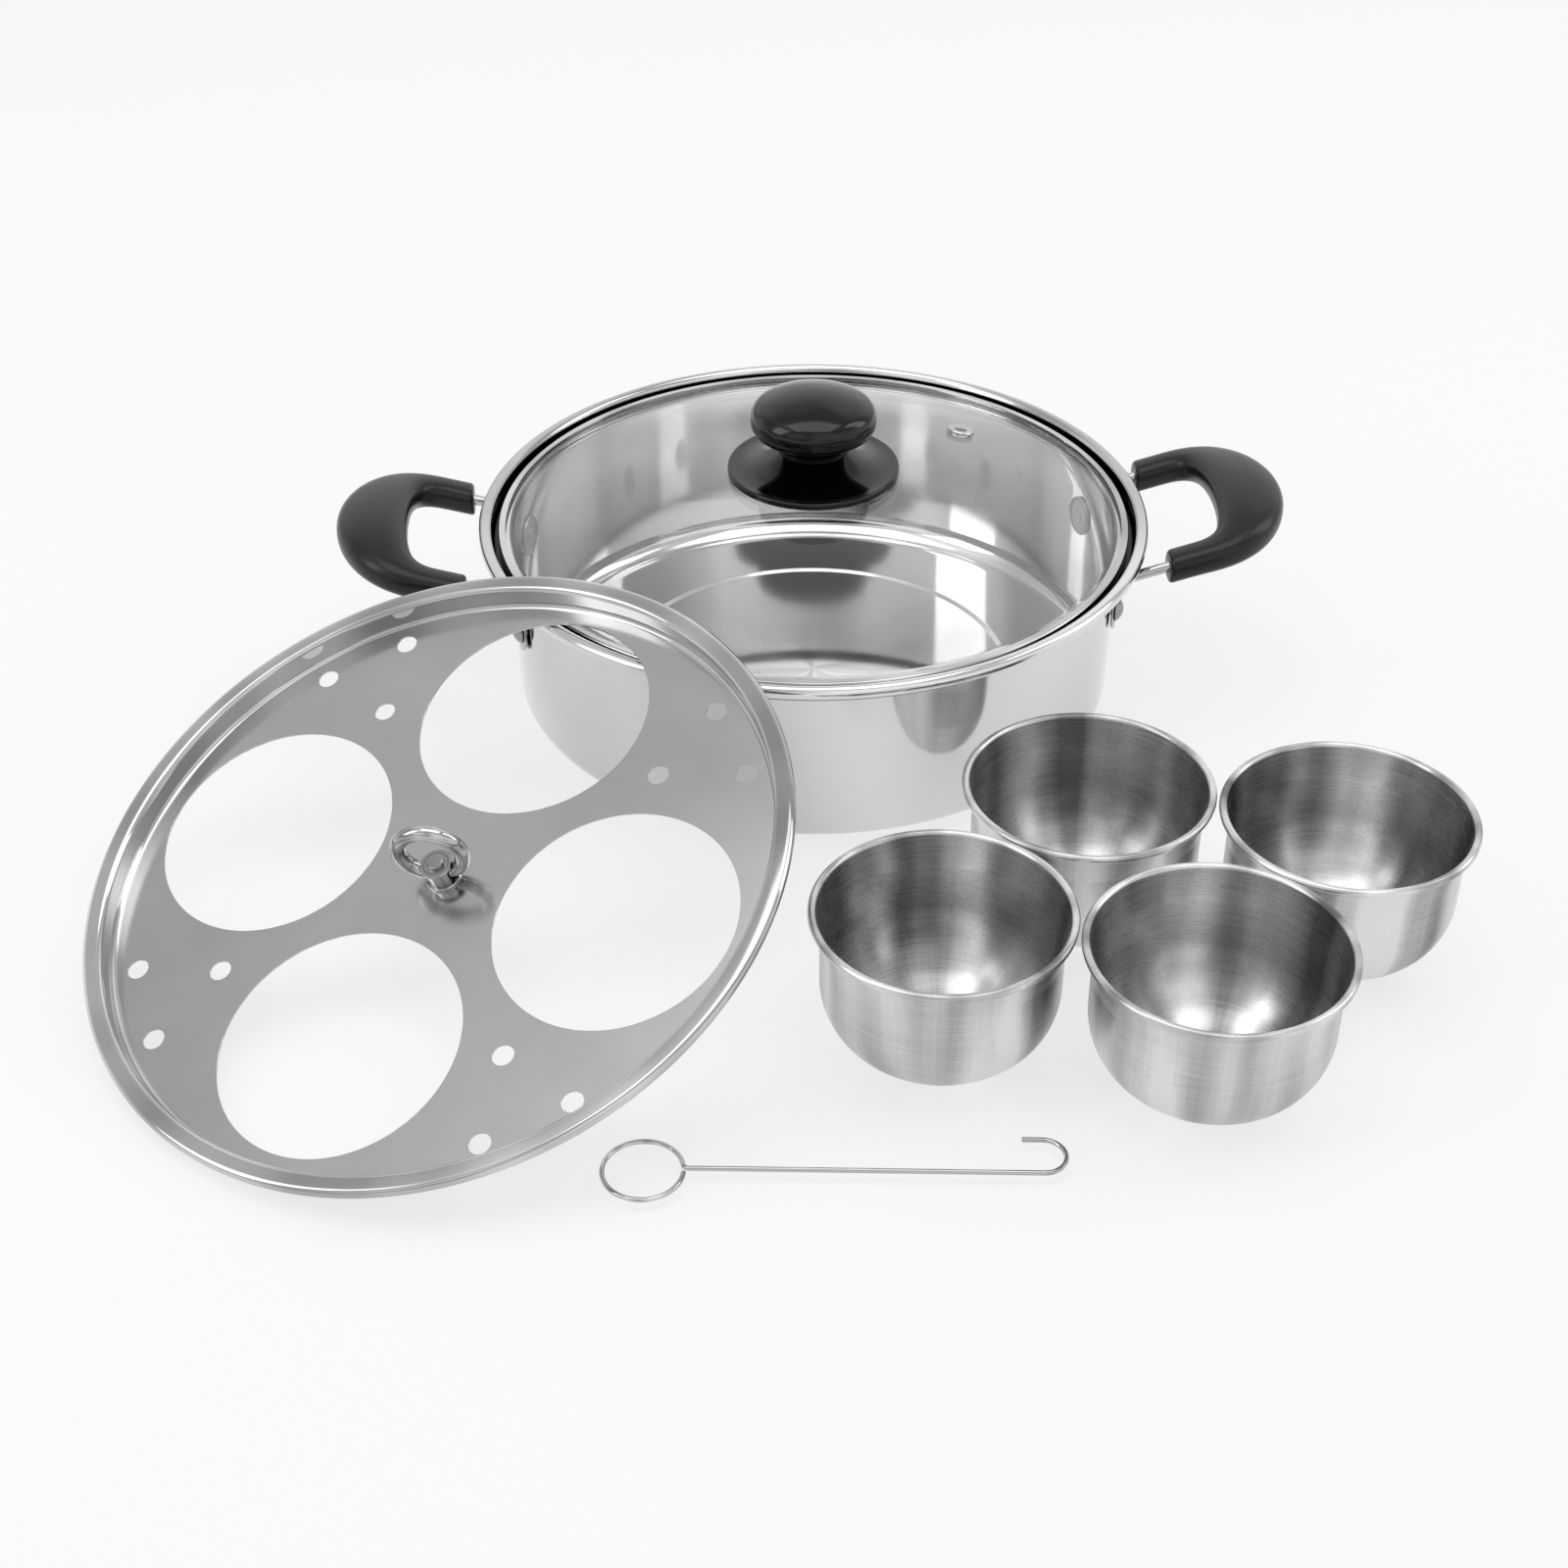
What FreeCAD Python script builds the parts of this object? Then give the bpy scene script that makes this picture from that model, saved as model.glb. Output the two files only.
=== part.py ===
import FreeCAD, Part
import math
import os
from FreeCAD import Placement, Rotation, Vector

# Egg steamer pot with lid, egg tray, four egg cups and lifting hook.
# Millimetres. The pot stands at the origin with its base pad on z = 0, +Z up,
# and the loose pieces lie on the same plane in front of it, towards -Y.

# Pot sheet
pot_sheet = 0.7
rim_diameter = 250.0
pot_height = 73.0
rim_roll_radius = 2.1
wall_draft = 1.2
base_corner_radius = 8.0
base_pad_inset = 37.3
base_pad_depth = 0.8
ledge_depth = 7.2
ledge_width = 6.3
ledge_corner_radius = 1.6

# Tray and lid share the pot's mouth
mouth_play = 0.6
lid_play = 2.4
drop_in_play = 0.6

# Egg tray
tray_sheet = 0.6
tray_depth = 9.0
tray_corner_radius = 2.0
tray_roll_radius = 1.7
egg_hole_web = 12.6
egg_hole_margin = 6.7
steam_hole_diameter = 7.2
steam_hole_inset = 9.0
steam_hole_step = 27.0
steam_half_angle = 8.25
hole_spin = 63.2
tray_lean_share = 0.868
tray_heading = 50.9
tray_sideways = -17.2
lean_gap = 0.4

# Lifting ring, its post, cap and rivet, in the tray's own frame
ring_bar_diameter = 5.2
ring_diameter = 20.8
ring_elbow_play = 0.3
ring_rest_angle = 89.0
ring_play = 0.3
ring_pin_diameter = 2.6
ring_pin_play = 0.08
post_x = 1.35
post_y = -1.95
post_heading = -8.0
post_diameter = 9.8
post_width = 7.4
post_foot_diameter = 12.2
post_flange = 0.8
ring_cap_diameter = 11.3
ring_rivet_diameter = 2.8
ring_rivet_head_diameter = 6.0
ring_rivet_head_height = 1.3
ring_rivet_tail_diameter = 6.4
ring_rivet_tail_height = 1.0

# Egg cups
cup_sheet = 0.6
cup_lip_overlap = 1.5
cup_hang_play = 2.3
cup_floor_gap = 13.6
cup_base_radius = 25.0
cup_roll_radius = 1.0
cup_flare_height = 12.0
cup_flare_radius = 14.0
cup_gap = 0.7
cup_row_heading = -12.2
cup_column_heading = 52.2
cup_cluster_azimuth = -59.1
cup_cluster_gap = 6.6

# Lid
glass_thickness = 3.8
lid_dome_radius = 323.0
lid_shoulder = 2.0
lid_edge_radius = 5.0
lid_edge_land = 4.4
lid_rim_sheet = 0.5
lid_rim_play = 0.1
lid_rim_corner_radius = 0.6
lid_rim_top_lip = 2.6
lid_rim_bottom_lip = 4.2
glass_play = 0.15
vent_inset = 46.0
vent_azimuth = 37.0
vent_hole_diameter = 7.0
eyelet_flange_diameter = 10.6
eyelet_tail_diameter = 9.2
eyelet_bore_diameter = 4.1
eyelet_wall = 1.1
eyelet_flange_thickness = 0.8

# Knob
skirt_diameter = 63.6
skirt_edge_height = 2.4
skirt_edge_radius = 0.8
skirt_height = 9.0
skirt_sag = 2.2
collar_diameter = 26.6
collar_height = 2.2
neck_diameter = 20.0
neck_height = 4.2
mushroom_diameter = 46.2
mushroom_rise = 10.2
mushroom_drop = 6.2
mushroom_edge_radius = 6.0
mushroom_under_radius = 4.5
knob_screw_diameter = 4.0
knob_screw_depth = 17.0
knob_screw_head_diameter = 8.0
knob_screw_head_height = 2.4
washer_diameter = 14.0
washer_thickness = 1.0
knob_hole_diameter = 6.0

# Handles
handle_azimuth = 3.6
rod_diameter = 4.0
leg_spacing = 69.6
grip_rim_gap = 3.6
grip_leg_length = 9.9
grip_bow_depth = 25.5
grip_bow_power = 0.75
grip_drop = 10.7
grip_tilt = 16.0
leg_width = 12.8
leg_thickness = 11.2
bow_width = 26.2
bow_thickness = 15.2
bow_swell = 1.5
section_power = 0.8
grip_end_inset = 1.2
rod_turn_radius = 22.0
rod_bend_radius = 4.5
rod_foot_run = 1.0
paddle_width = 9.6
paddle_thickness = 1.8
paddle_drop = 8.0
paddle_play = 0.2
rivet_drop = 28.0
rivet_diameter = 5.0
rivet_head_diameter = 9.4
rivet_head_rise = 2.5
rivet_pad_diameter = 15.0
rivet_pad_thickness = 1.0
rivet_stub_diameter = 5.4
rivet_stub_rise = 0.25

# Lifting hook
hook_wire_diameter = 1.6
hook_ring_diameter = 24.4
hook_ring_start = -3.0
hook_ring_end = 12.0
hook_neck_radius = 1.8
hook_shank_length = 106.0
hook_curl_radius = 7.0
hook_tip_length = 6.0
hook_ring_left = 91.3
hook_cup_gap = 17.9
hook_heading = -1.4

# Small clearances between pieces that touch in the real thing
seat_play = 0.05
hole_play = 0.05

quarter_turn = 90.0

# Sizes that follow from the ones above
rim_radius = rim_diameter / 2
pot_half = pot_sheet / 2
mouth_mid = rim_radius - pot_half - 2 * rim_roll_radius
mouth_radius = mouth_mid - pot_half
ledge_z = pot_height - ledge_depth
rim_roll_outer = rim_roll_radius + pot_half
wall_top_inner = mouth_radius - ledge_width
wall_top = wall_top_inner + pot_sheet
wall_foot = wall_top - wall_draft
rivet_height = pot_height - rivet_drop

tray_radius = mouth_radius - mouth_play
plate_radius = wall_top_inner - drop_in_play - tray_sheet / 2
egg_hole_radius = (plate_radius - egg_hole_margin - egg_hole_web / math.sqrt(2)) / (1 + math.sqrt(2))
egg_hole_circle = (egg_hole_radius + egg_hole_web / 2) * math.sqrt(2)

cup_rim = egg_hole_radius + cup_lip_overlap
cup_wall = egg_hole_radius - cup_hang_play
cup_height = ledge_z - cup_floor_gap

lid_radius = mouth_radius - lid_play
lid_rim_height = glass_thickness + 2 * (lid_rim_sheet + lid_rim_play)
lid_edge_z = ledge_z + seat_play + lid_rim_height / 2
lid_land = lid_radius - lid_rim_sheet - lid_edge_land
lid_slope = math.asin((lid_land - lid_shoulder) / lid_dome_radius)
dome_run = lid_dome_radius * math.tan(lid_slope / 2)
apex_z = lid_edge_z + (lid_land - dome_run) * math.tan(lid_slope)
dome_centre_z = apex_z - lid_dome_radius

ring_bar = ring_bar_diameter / 2
ring_radius = ring_diameter / 2
ring_elbow = ring_bar + ring_elbow_play
ring_end = post_width / 2 + ring_play
elbow_span = ring_radius - ring_elbow
ring_centre = ring_elbow + math.sqrt(elbow_span ** 2 - ring_end ** 2)
hinge_height = post_flange + ring_bar + ring_play

grip_start = rim_radius + grip_rim_gap
grip_bow_start = grip_start + grip_leg_length
grip_z = pot_height - grip_drop
paddle_seat = wall_top - wall_draft * (ledge_z - rivet_height) / (ledge_z - base_corner_radius) + paddle_play
leg_y = leg_spacing / 2
rod_x = math.sqrt((paddle_seat + rod_diameter / 2) ** 2 - leg_y ** 2)

AXIS_Z = Vector(0, 0, 1)
ORIGIN = Vector(0, 0, 0)


def save(name, shape):
    shape.exportStep("parts/" + name + ".step")


def section_point(r, z):
    return Vector(r, 0, z)


def line(a, b):
    return Part.LineSegment(a, b).toShape()


def arc(a, middle, b):
    return Part.Arc(a, middle, b).toShape()


def sheet_section(points, thickness):
    """Face of a bent sheet in the XZ plane.

    points are (r, z, bend radius) of the sheet's middle line. Each bend is a
    tangent arc, and both faces of the sheet lie half its thickness away.
    """
    count = len(points)
    flat = [Vector(p[0], p[1], 0) for p in points]
    bends = []
    for i in range(1, count - 1):
        before = (flat[i] - flat[i - 1]).normalize()
        after = (flat[i + 1] - flat[i]).normalize()
        turn = math.atan2(before.x * after.y - before.y * after.x, before.dot(after))
        side = math.copysign(1.0, turn)
        radius = points[i][2]
        reach = radius * math.tan(abs(turn) / 2)
        start = flat[i] - before * reach
        normal = Vector(-before.y, before.x, 0)
        centre = start + normal * (radius * side)
        bends.append((start, flat[i] + after * reach, centre, radius, side, before, after))

    def face_side(offset):
        first = (flat[1] - flat[0]).normalize()
        last = (flat[-1] - flat[-2]).normalize()
        here = flat[0] + Vector(-first.y, first.x, 0) * offset
        steps = []
        for start, end, centre, radius, side, before, after in bends:
            bent = radius - offset * side
            a = start + Vector(-before.y, before.x, 0) * offset
            b = end + Vector(-after.y, after.x, 0) * offset
            middle = centre + ((a + b) * 0.5 - centre).normalize() * bent
            if (a - here).Length > 1e-6:
                steps.append((here, None, a))
            if (b - a).Length > 1e-6:
                steps.append((a, middle, b))
            here = b
        tail = flat[-1] + Vector(-last.y, last.x, 0) * offset
        if (tail - here).Length > 1e-6:
            steps.append((here, None, tail))
        return steps

    left = face_side(thickness / 2)
    right = face_side(-thickness / 2)
    loop = left + [(left[-1][2], None, right[-1][2])]
    loop += [(b, middle, a) for a, middle, b in reversed(right)]
    loop += [(right[0][0], None, left[0][0])]
    edges = []
    for a, middle, b in loop:
        start = section_point(a.x, a.y)
        end = section_point(b.x, b.y)
        if middle is None:
            edges.append(line(start, end))
        else:
            edges.append(arc(start, section_point(middle.x, middle.y), end))
    return Part.Face(Part.Wire(edges))


def turned(face):
    return face.revolve(ORIGIN, AXIS_Z, 360)


def turned_sheet(points, thickness):
    return turned(sheet_section(points, thickness))


def rolled_edge(neck, top, radius):
    """Points of a bead that rolls outwards and down from a neck, for sheet_section."""
    outer = neck + 2 * radius
    low = top - 2 * radius
    return [(neck, top, radius), (outer, top, radius), (outer, low, radius), (neck + radius, low, 0)]


def cylinder(radius, low, high):
    return Part.makeCylinder(radius, high - low, Vector(0, 0, low))


def rounded_path(points):
    """Wire of straight runs joined by tangent arcs through (point, bend radius) pairs."""
    edges = []
    here = points[0][0]
    for i in range(1, len(points) - 1):
        corner, radius = points[i]
        before = (corner - points[i - 1][0]).normalize()
        after = (points[i + 1][0] - corner).normalize()
        half = before.getAngle(after) / 2
        start = corner - before * (radius * math.tan(half))
        end = corner + after * (radius * math.tan(half))
        centre = corner + (after - before).normalize() * (radius / math.cos(half))
        middle = centre + (corner - centre).normalize() * radius
        edges.append(line(here, start))
        edges.append(arc(start, middle, end))
        here = end
    edges.append(line(here, points[-1][0]))
    return Part.Wire(edges)


def swept_rod(path, start, heading, diameter):
    profile = Part.Wire(Part.makeCircle(diameter / 2, start, heading))
    return path.makePipe(Part.Face(profile))


def polar(radius, degrees, z=0.0):
    angle = math.radians(degrees)
    return Vector(radius * math.cos(angle), radius * math.sin(angle), z)


# Pot

def wall_radius(z):
    """Outer radius of the tapered wall at height z."""
    foot_z = base_pad_depth + base_corner_radius
    return wall_foot + wall_draft * (z - foot_z) / (ledge_z - foot_z)


def rivet_spread():
    """Angle about the pot's axis from a handle's middle to its rivets."""
    return math.degrees(math.atan2(leg_y, rod_x))


def rivet_azimuths():
    """Angle of each rivet about the pot's axis, by node name."""
    half = rivet_spread()
    return {
        "rivet_right_front": handle_azimuth - half,
        "rivet_right_back": handle_azimuth + half,
        "rivet_left_front": 180 + handle_azimuth + half,
        "rivet_left_back": 180 + handle_azimuth - half,
    }


def make_pot():
    pad = wall_foot - base_pad_inset
    foot = wall_foot - pot_half
    head = wall_top - pot_half
    points = [
        (0, pot_half, 0),
        (pad - base_pad_depth, pot_half, 1.0),
        (pad + base_pad_depth, base_pad_depth + pot_half, 1.0),
        (foot, base_pad_depth + pot_half, base_corner_radius - pot_half),
        (head, ledge_z - pot_half, ledge_corner_radius),
        (mouth_mid, ledge_z - pot_half, ledge_corner_radius),
    ]
    points += rolled_edge(mouth_mid, pot_height - pot_half, rim_roll_radius)
    pot = turned_sheet(points, pot_sheet)
    for azimuth in rivet_azimuths().values():
        drill = Part.makeCylinder(
            rivet_diameter / 2 + hole_play,
            rim_diameter / 2,
            Vector(0, 0, rivet_height),
            polar(1, azimuth),
        )
        pot = pot.cut(drill)
    return pot


def make_rivet(azimuth):
    """Rivet on a radial axis: wide pad inside the wall, domed head on the paddle."""
    outer = wall_radius(rivet_height)
    pad_radius = rivet_pad_diameter / 2
    pad_face = math.sqrt((outer - pot_sheet - seat_play) ** 2 - pad_radius ** 2)
    head_face = paddle_seat + paddle_thickness + seat_play
    shank = rivet_diameter / 2
    head = rivet_head_diameter / 2
    stub = rivet_stub_diameter / 2
    pad_back = pad_face - rivet_pad_thickness
    stub_back = pad_back - rivet_stub_rise
    top = head_face + rivet_head_rise
    dome = (head ** 2 + rivet_head_rise ** 2) / (2 * rivet_head_rise)
    half = math.asin(head / dome) / 2
    shoulder = section_point(dome * math.sin(half), top - dome * (1 - math.cos(half)))
    edges = [
        line(section_point(0, stub_back), section_point(stub, stub_back)),
        line(section_point(stub, stub_back), section_point(stub, pad_back)),
        line(section_point(stub, pad_back), section_point(pad_radius - 0.5, pad_back)),
        line(section_point(pad_radius - 0.5, pad_back), section_point(pad_radius, pad_back + 0.5)),
        line(section_point(pad_radius, pad_back + 0.5), section_point(pad_radius, pad_face)),
        line(section_point(pad_radius, pad_face), section_point(shank, pad_face)),
        line(section_point(shank, pad_face), section_point(shank, head_face)),
        line(section_point(shank, head_face), section_point(head, head_face)),
        arc(section_point(head, head_face), shoulder, section_point(0, top)),
        line(section_point(0, top), section_point(0, stub_back)),
    ]
    rivet = turned(Part.Face(Part.Wire(edges)))
    rivet.Placement = Placement(
        Vector(0, 0, rivet_height),
        Rotation(AXIS_Z, azimuth).multiply(Rotation(Vector(0, 1, 0), quarter_turn)),
    )
    return rivet


# Handles, drawn for the +X side of the pot and turned into place

def grip_rise(x):
    return grip_z + (x - grip_start) * math.tan(math.radians(grip_tilt))


def grip_centre(angle):
    """Middle line of the grip's bow at an angle from -90 to 90 degrees."""
    share = max(math.cos(math.radians(angle)), 0.0)
    x = grip_bow_start + grip_bow_depth * share ** grip_bow_power
    y = leg_y * math.sin(math.radians(angle))
    return Vector(x, y, grip_rise(x))


def grip_section(centre, heading, width, thickness):
    """Rounded section across the grip, upright, from a superellipse."""
    across = Vector(heading.y, -heading.x, 0).normalize()
    points = []
    for step in range(16):
        angle = 2 * math.pi * step / 16
        c = math.cos(angle)
        s = math.sin(angle)
        u = math.copysign(abs(c) ** section_power, c) * width / 2
        v = math.copysign(abs(s) ** section_power, s) * thickness / 2
        points.append(centre + across * u + AXIS_Z * v)
    curve = Part.BSplineCurve()
    curve.interpolate(Points=points, PeriodicFlag=True)
    return Part.Wire(curve.toShape())


def grip_solid():
    sections = []
    ahead = Vector(1, 0, 0)

    def leg(side, x, inset):
        centre = Vector(x, side * leg_y, grip_rise(x))
        heading = ahead * -side
        return grip_section(centre, heading, leg_width - inset, leg_thickness - inset)

    ends = [(grip_start, 2 * grip_end_inset), (grip_start + grip_end_inset, 0)]
    ends.append((grip_bow_start - grip_end_inset, 0))
    sections += [leg(-1, x, inset) for x, inset in ends]
    steps = 10
    for step in range(1, steps):
        angle = quarter_turn * (2 * step / steps - 1)
        swell = math.cos(math.radians(angle)) ** bow_swell
        width = leg_width + (bow_width - leg_width) * swell
        thickness = leg_thickness + (bow_thickness - leg_thickness) * swell
        heading = grip_centre(angle + 1) - grip_centre(angle - 1)
        sections.append(grip_section(grip_centre(angle), heading, width, thickness))
    sections += [leg(1, x, inset) for x, inset in reversed(ends)]
    return Part.makeLoft(sections, True, False)


def rod_foot_z():
    """Height at which the rod's upright foot begins, just below its bend."""
    reach = rod_bend_radius * math.tan(math.radians(quarter_turn - grip_tilt) / 2)
    return grip_rise(rod_x) - reach - rod_foot_run


def rod_path(low):
    """Path of the bent rod: up the wall, out through the grip's bow and back down."""
    far_x = grip_bow_start + grip_bow_depth
    corners = []
    for side in (-1, 1):
        leg_points = [
            (Vector(rod_x, side * leg_y, low), 0),
            (Vector(rod_x, side * leg_y, grip_rise(rod_x)), rod_bend_radius),
            (Vector(far_x, side * leg_y, grip_rise(far_x)), rod_turn_radius),
        ]
        corners += leg_points if side < 0 else leg_points[::-1]
    return rounded_path(corners)


def flattened_end(azimuth, top):
    """Rod end beaten flat: a taper from the round rod to a paddle with a round tip on the wall."""
    bar = rod_diameter / 2
    low = rivet_height + rivet_head_diameter / 2 + seat_play

    def ring(middle, depth, breadth, height):
        centre = Vector(paddle_seat + middle, 0, height)
        ellipse = Part.Ellipse(centre + Vector(0, breadth, 0), centre + Vector(depth, 0, 0), centre)
        return Part.Wire(ellipse.toShape())

    round_ring = ring(bar, bar * 0.92, bar * 0.93, top)
    flat_ring = ring(paddle_thickness / 2, paddle_thickness * 0.47, paddle_width * 0.46, low)
    taper = Part.makeLoft([round_ring, flat_ring], True, True)
    foot = rivet_height - paddle_drop
    corner = Vector(paddle_seat, -paddle_width / 2, foot)
    plate = Part.makeBox(paddle_thickness, paddle_width, low + 2 * seat_play - foot, corner)
    tip = [e for e in plate.Edges if e.BoundBox.ZMax < foot + seat_play and e.BoundBox.YLength < seat_play]
    plate = plate.makeFillet(paddle_width / 2 * 0.96, tip)
    drill = Part.makeCylinder(
        rivet_diameter / 2 + hole_play,
        2 * paddle_thickness + paddle_seat,
        Vector(0, 0, rivet_height),
        Vector(1, 0, 0),
    )
    end = plate.fuse(taper).cut(drill)
    end.rotate(ORIGIN, AXIS_Z, azimuth)
    return end


def make_handle():
    """Rod and grip of one handle on the +X side."""
    low = rod_foot_z()
    start = Vector(rod_x, -leg_y, low)
    path = rod_path(low)
    rod = swept_rod(path, start, AXIS_Z, rod_diameter)
    tunnel = swept_rod(path, start, AXIS_Z, rod_diameter + 2 * hole_play)
    for side in (-1, 1):
        rod = rod.fuse(flattened_end(side * rivet_spread(), low + rod_foot_run / 2))
    return rod, grip_solid().cut(tunnel)


# Lid

def glass_top(radius):
    """Height of the glass's upper surface at a radius near the knob."""
    outer = lid_dome_radius + glass_thickness / 2
    return dome_centre_z + math.sqrt(outer ** 2 - radius ** 2)


def make_lid_glass():
    points = [
        (0, apex_z, 0),
        (dome_run, apex_z, lid_dome_radius),
        (lid_land, lid_edge_z, lid_edge_radius),
        (lid_radius - lid_rim_sheet - glass_play, lid_edge_z, 0),
    ]
    glass = turned_sheet(points, glass_thickness)
    low = apex_z - 2 * glass_thickness
    glass = glass.cut(cylinder(knob_hole_diameter / 2, low, apex_z + glass_thickness))
    drill = cylinder(vent_hole_diameter / 2, low - dome_centre_z, lid_dome_radius + glass_thickness)
    drill.Placement = vent_placement()
    return glass.cut(drill)


def vent_placement():
    lean = math.degrees(math.asin((lid_radius - vent_inset) / lid_dome_radius))
    turn = Rotation(AXIS_Z, vent_azimuth).multiply(Rotation(Vector(0, 1, 0), lean))
    return Placement(Vector(0, 0, dome_centre_z), turn)


def make_lid_rim():
    outer = lid_radius - lid_rim_sheet / 2
    top = lid_edge_z + lid_rim_height / 2 - lid_rim_sheet / 2
    low = lid_edge_z - lid_rim_height / 2 + lid_rim_sheet / 2
    points = [
        (lid_radius - lid_rim_top_lip, top, 0),
        (outer, top, lid_rim_corner_radius),
        (outer, low, lid_rim_corner_radius),
        (lid_radius - lid_rim_bottom_lip, low, 0),
    ]
    return turned_sheet(points, lid_rim_sheet)


def make_vent_eyelet():
    """Eyelet on the vent hole's axis, measured out from the dome's centre."""
    top = lid_dome_radius + glass_thickness / 2 + seat_play
    low = lid_dome_radius - glass_thickness / 2 - seat_play
    bore = eyelet_bore_diameter / 2
    tube = bore + eyelet_wall
    flange = cylinder(eyelet_flange_diameter / 2, top, top + eyelet_flange_thickness)
    tail = cylinder(eyelet_tail_diameter / 2, low - eyelet_flange_thickness, low)
    body = cylinder(tube, low - eyelet_flange_thickness, top + eyelet_flange_thickness)
    eyelet = flange.fuse([tail, body])
    eyelet = eyelet.cut(cylinder(bore, low - 2 * eyelet_flange_thickness, top + 2 * eyelet_flange_thickness))
    eyelet.Placement = vent_placement()
    return eyelet


def knob_stack():
    """Heights of the skirt's seat, collar and neck on the lid."""
    seat = glass_top(skirt_diameter / 2) + seat_play
    collar = seat + skirt_height
    return seat, collar, collar + collar_height


def make_knob_base():
    seat, collar, top = knob_stack()
    edge = skirt_diameter / 2
    shoulder = collar_diameter / 2
    bore = knob_screw_diameter / 2 + hole_play
    brim = seat + skirt_edge_height
    radius = skirt_edge_radius
    round_share = radius * (1 - math.sqrt(0.5))
    low = apex_z - glass_thickness
    mid_r = (edge + shoulder) / 2
    mid_z = (brim + collar) / 2 - skirt_sag
    edges = [
        line(section_point(bore, low), section_point(edge, low)),
        line(section_point(edge, low), section_point(edge, brim - radius)),
        arc(
            section_point(edge, brim - radius),
            section_point(edge - round_share, brim - round_share),
            section_point(edge - radius, brim),
        ),
        arc(section_point(edge - radius, brim), section_point(mid_r, mid_z), section_point(shoulder, collar)),
        line(section_point(shoulder, collar), section_point(shoulder, top)),
        line(section_point(shoulder, top), section_point(bore, top)),
        line(section_point(bore, top), section_point(bore, low)),
    ]
    base = turned(Part.Face(Part.Wire(edges)))
    under = Part.makeSphere(
        lid_dome_radius + glass_thickness / 2 + seat_play,
        Vector(0, 0, dome_centre_z),
    )
    return base.cut(under)


def make_lid_knob():
    """Mushroom head on its neck, with a blind hole for the screw."""
    foot = knob_stack()[2] + seat_play
    neck = neck_diameter / 2
    head = mushroom_diameter / 2
    widest = foot + neck_height + mushroom_drop
    under = widest - mushroom_drop
    top = widest + mushroom_rise
    edge = mushroom_edge_radius
    shelf = mushroom_under_radius
    crown = ((head - edge) ** 2 + mushroom_rise ** 2 - edge ** 2) / (2 * (mushroom_rise - edge))
    slope = math.asin((head - edge) / (crown - edge))

    def on_crown(angle):
        return section_point(crown * math.sin(angle), top - crown * (1 - math.cos(angle)))

    def on_edge(angle):
        return section_point(head - edge + edge * math.sin(angle), widest + edge * math.cos(angle))

    below = section_point(head - shelf, under)
    lip = section_point(head, under + shelf)
    round_share = shelf * (1 - math.sqrt(0.5))
    edges = [
        line(section_point(0, foot), section_point(neck, foot)),
        line(section_point(neck, foot), section_point(neck, under)),
        line(section_point(neck, under), below),
        arc(below, section_point(head - round_share, under + round_share), lip),
        line(lip, section_point(head, widest)),
        arc(section_point(head, widest), on_edge((slope + math.pi / 2) / 2), on_edge(slope)),
        arc(on_edge(slope), on_crown(slope / 2), section_point(0, top)),
        line(section_point(0, top), section_point(0, foot)),
    ]
    knob = turned(Part.Face(Part.Wire(edges)))
    hole_top = knob_screw_top() + 1.0
    return knob.cut(cylinder(knob_screw_diameter / 2 + hole_play, foot - 1.0, hole_top))


def knob_screw_top():
    return apex_z + knob_screw_depth


def screw_seat():
    """Height of the washer's upper face under the glass."""
    inner = lid_dome_radius - glass_thickness / 2 - seat_play
    return dome_centre_z + math.sqrt(inner ** 2 - (washer_diameter / 2) ** 2)


def make_knob_washer():
    top = screw_seat()
    disc = cylinder(washer_diameter / 2, top - washer_thickness, top)
    return disc.cut(cylinder(knob_screw_diameter / 2 + hole_play, top - 2 * washer_thickness, top + 1.0))


def make_knob_screw():
    top = screw_seat() - washer_thickness - seat_play
    head = cylinder(knob_screw_head_diameter / 2, top - knob_screw_head_height, top)
    head = head.makeFillet(knob_screw_head_height / 2, [head.Edges[2]])
    slot = Part.makeBox(
        knob_screw_head_diameter,
        1.0,
        1.2,
        Vector(-knob_screw_head_diameter / 2, -0.5, top - knob_screw_head_height),
    )
    shank = cylinder(knob_screw_diameter / 2, top - 0.5, knob_screw_top())
    return head.cut(slot).fuse(shank)


# Egg tray

def tray_placement():
    """The tray stands on the floor with its bead and leans on the pot's rim.

    Its tilt is the one at which the rim's roll touches the plate at the wanted
    share of the plate's radius above its middle.
    """
    bead = tray_roll_radius + tray_sheet / 2
    bead_circle = tray_radius - bead
    bead_height = tray_depth - tray_roll_radius
    rim_height = pot_height - rim_roll_outer
    off_rim = rim_roll_outer + lean_gap + tray_sheet / 2
    along = bead_circle + tray_lean_share * plate_radius
    above = bead_height + off_rim
    tilt = math.asin((rim_height - bead) / math.hypot(along, above)) + math.atan2(above, along)
    lift = bead_circle * math.sin(tilt) + bead - bead_height * math.cos(tilt)
    reach = rim_height + off_rim / math.cos(tilt) - lift
    away = rim_radius - rim_roll_outer + reach / math.tan(tilt)
    heading = math.radians(tray_heading)
    uphill = Vector(math.cos(heading), math.sin(heading), 0)
    across = Vector(-math.sin(heading), math.cos(heading), 0)
    centre = uphill * -away + across * tray_sideways + AXIS_Z * lift
    hinge = Vector(math.sin(heading), -math.cos(heading), 0)
    return Placement(centre, Rotation(hinge, math.degrees(tilt)))


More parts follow.
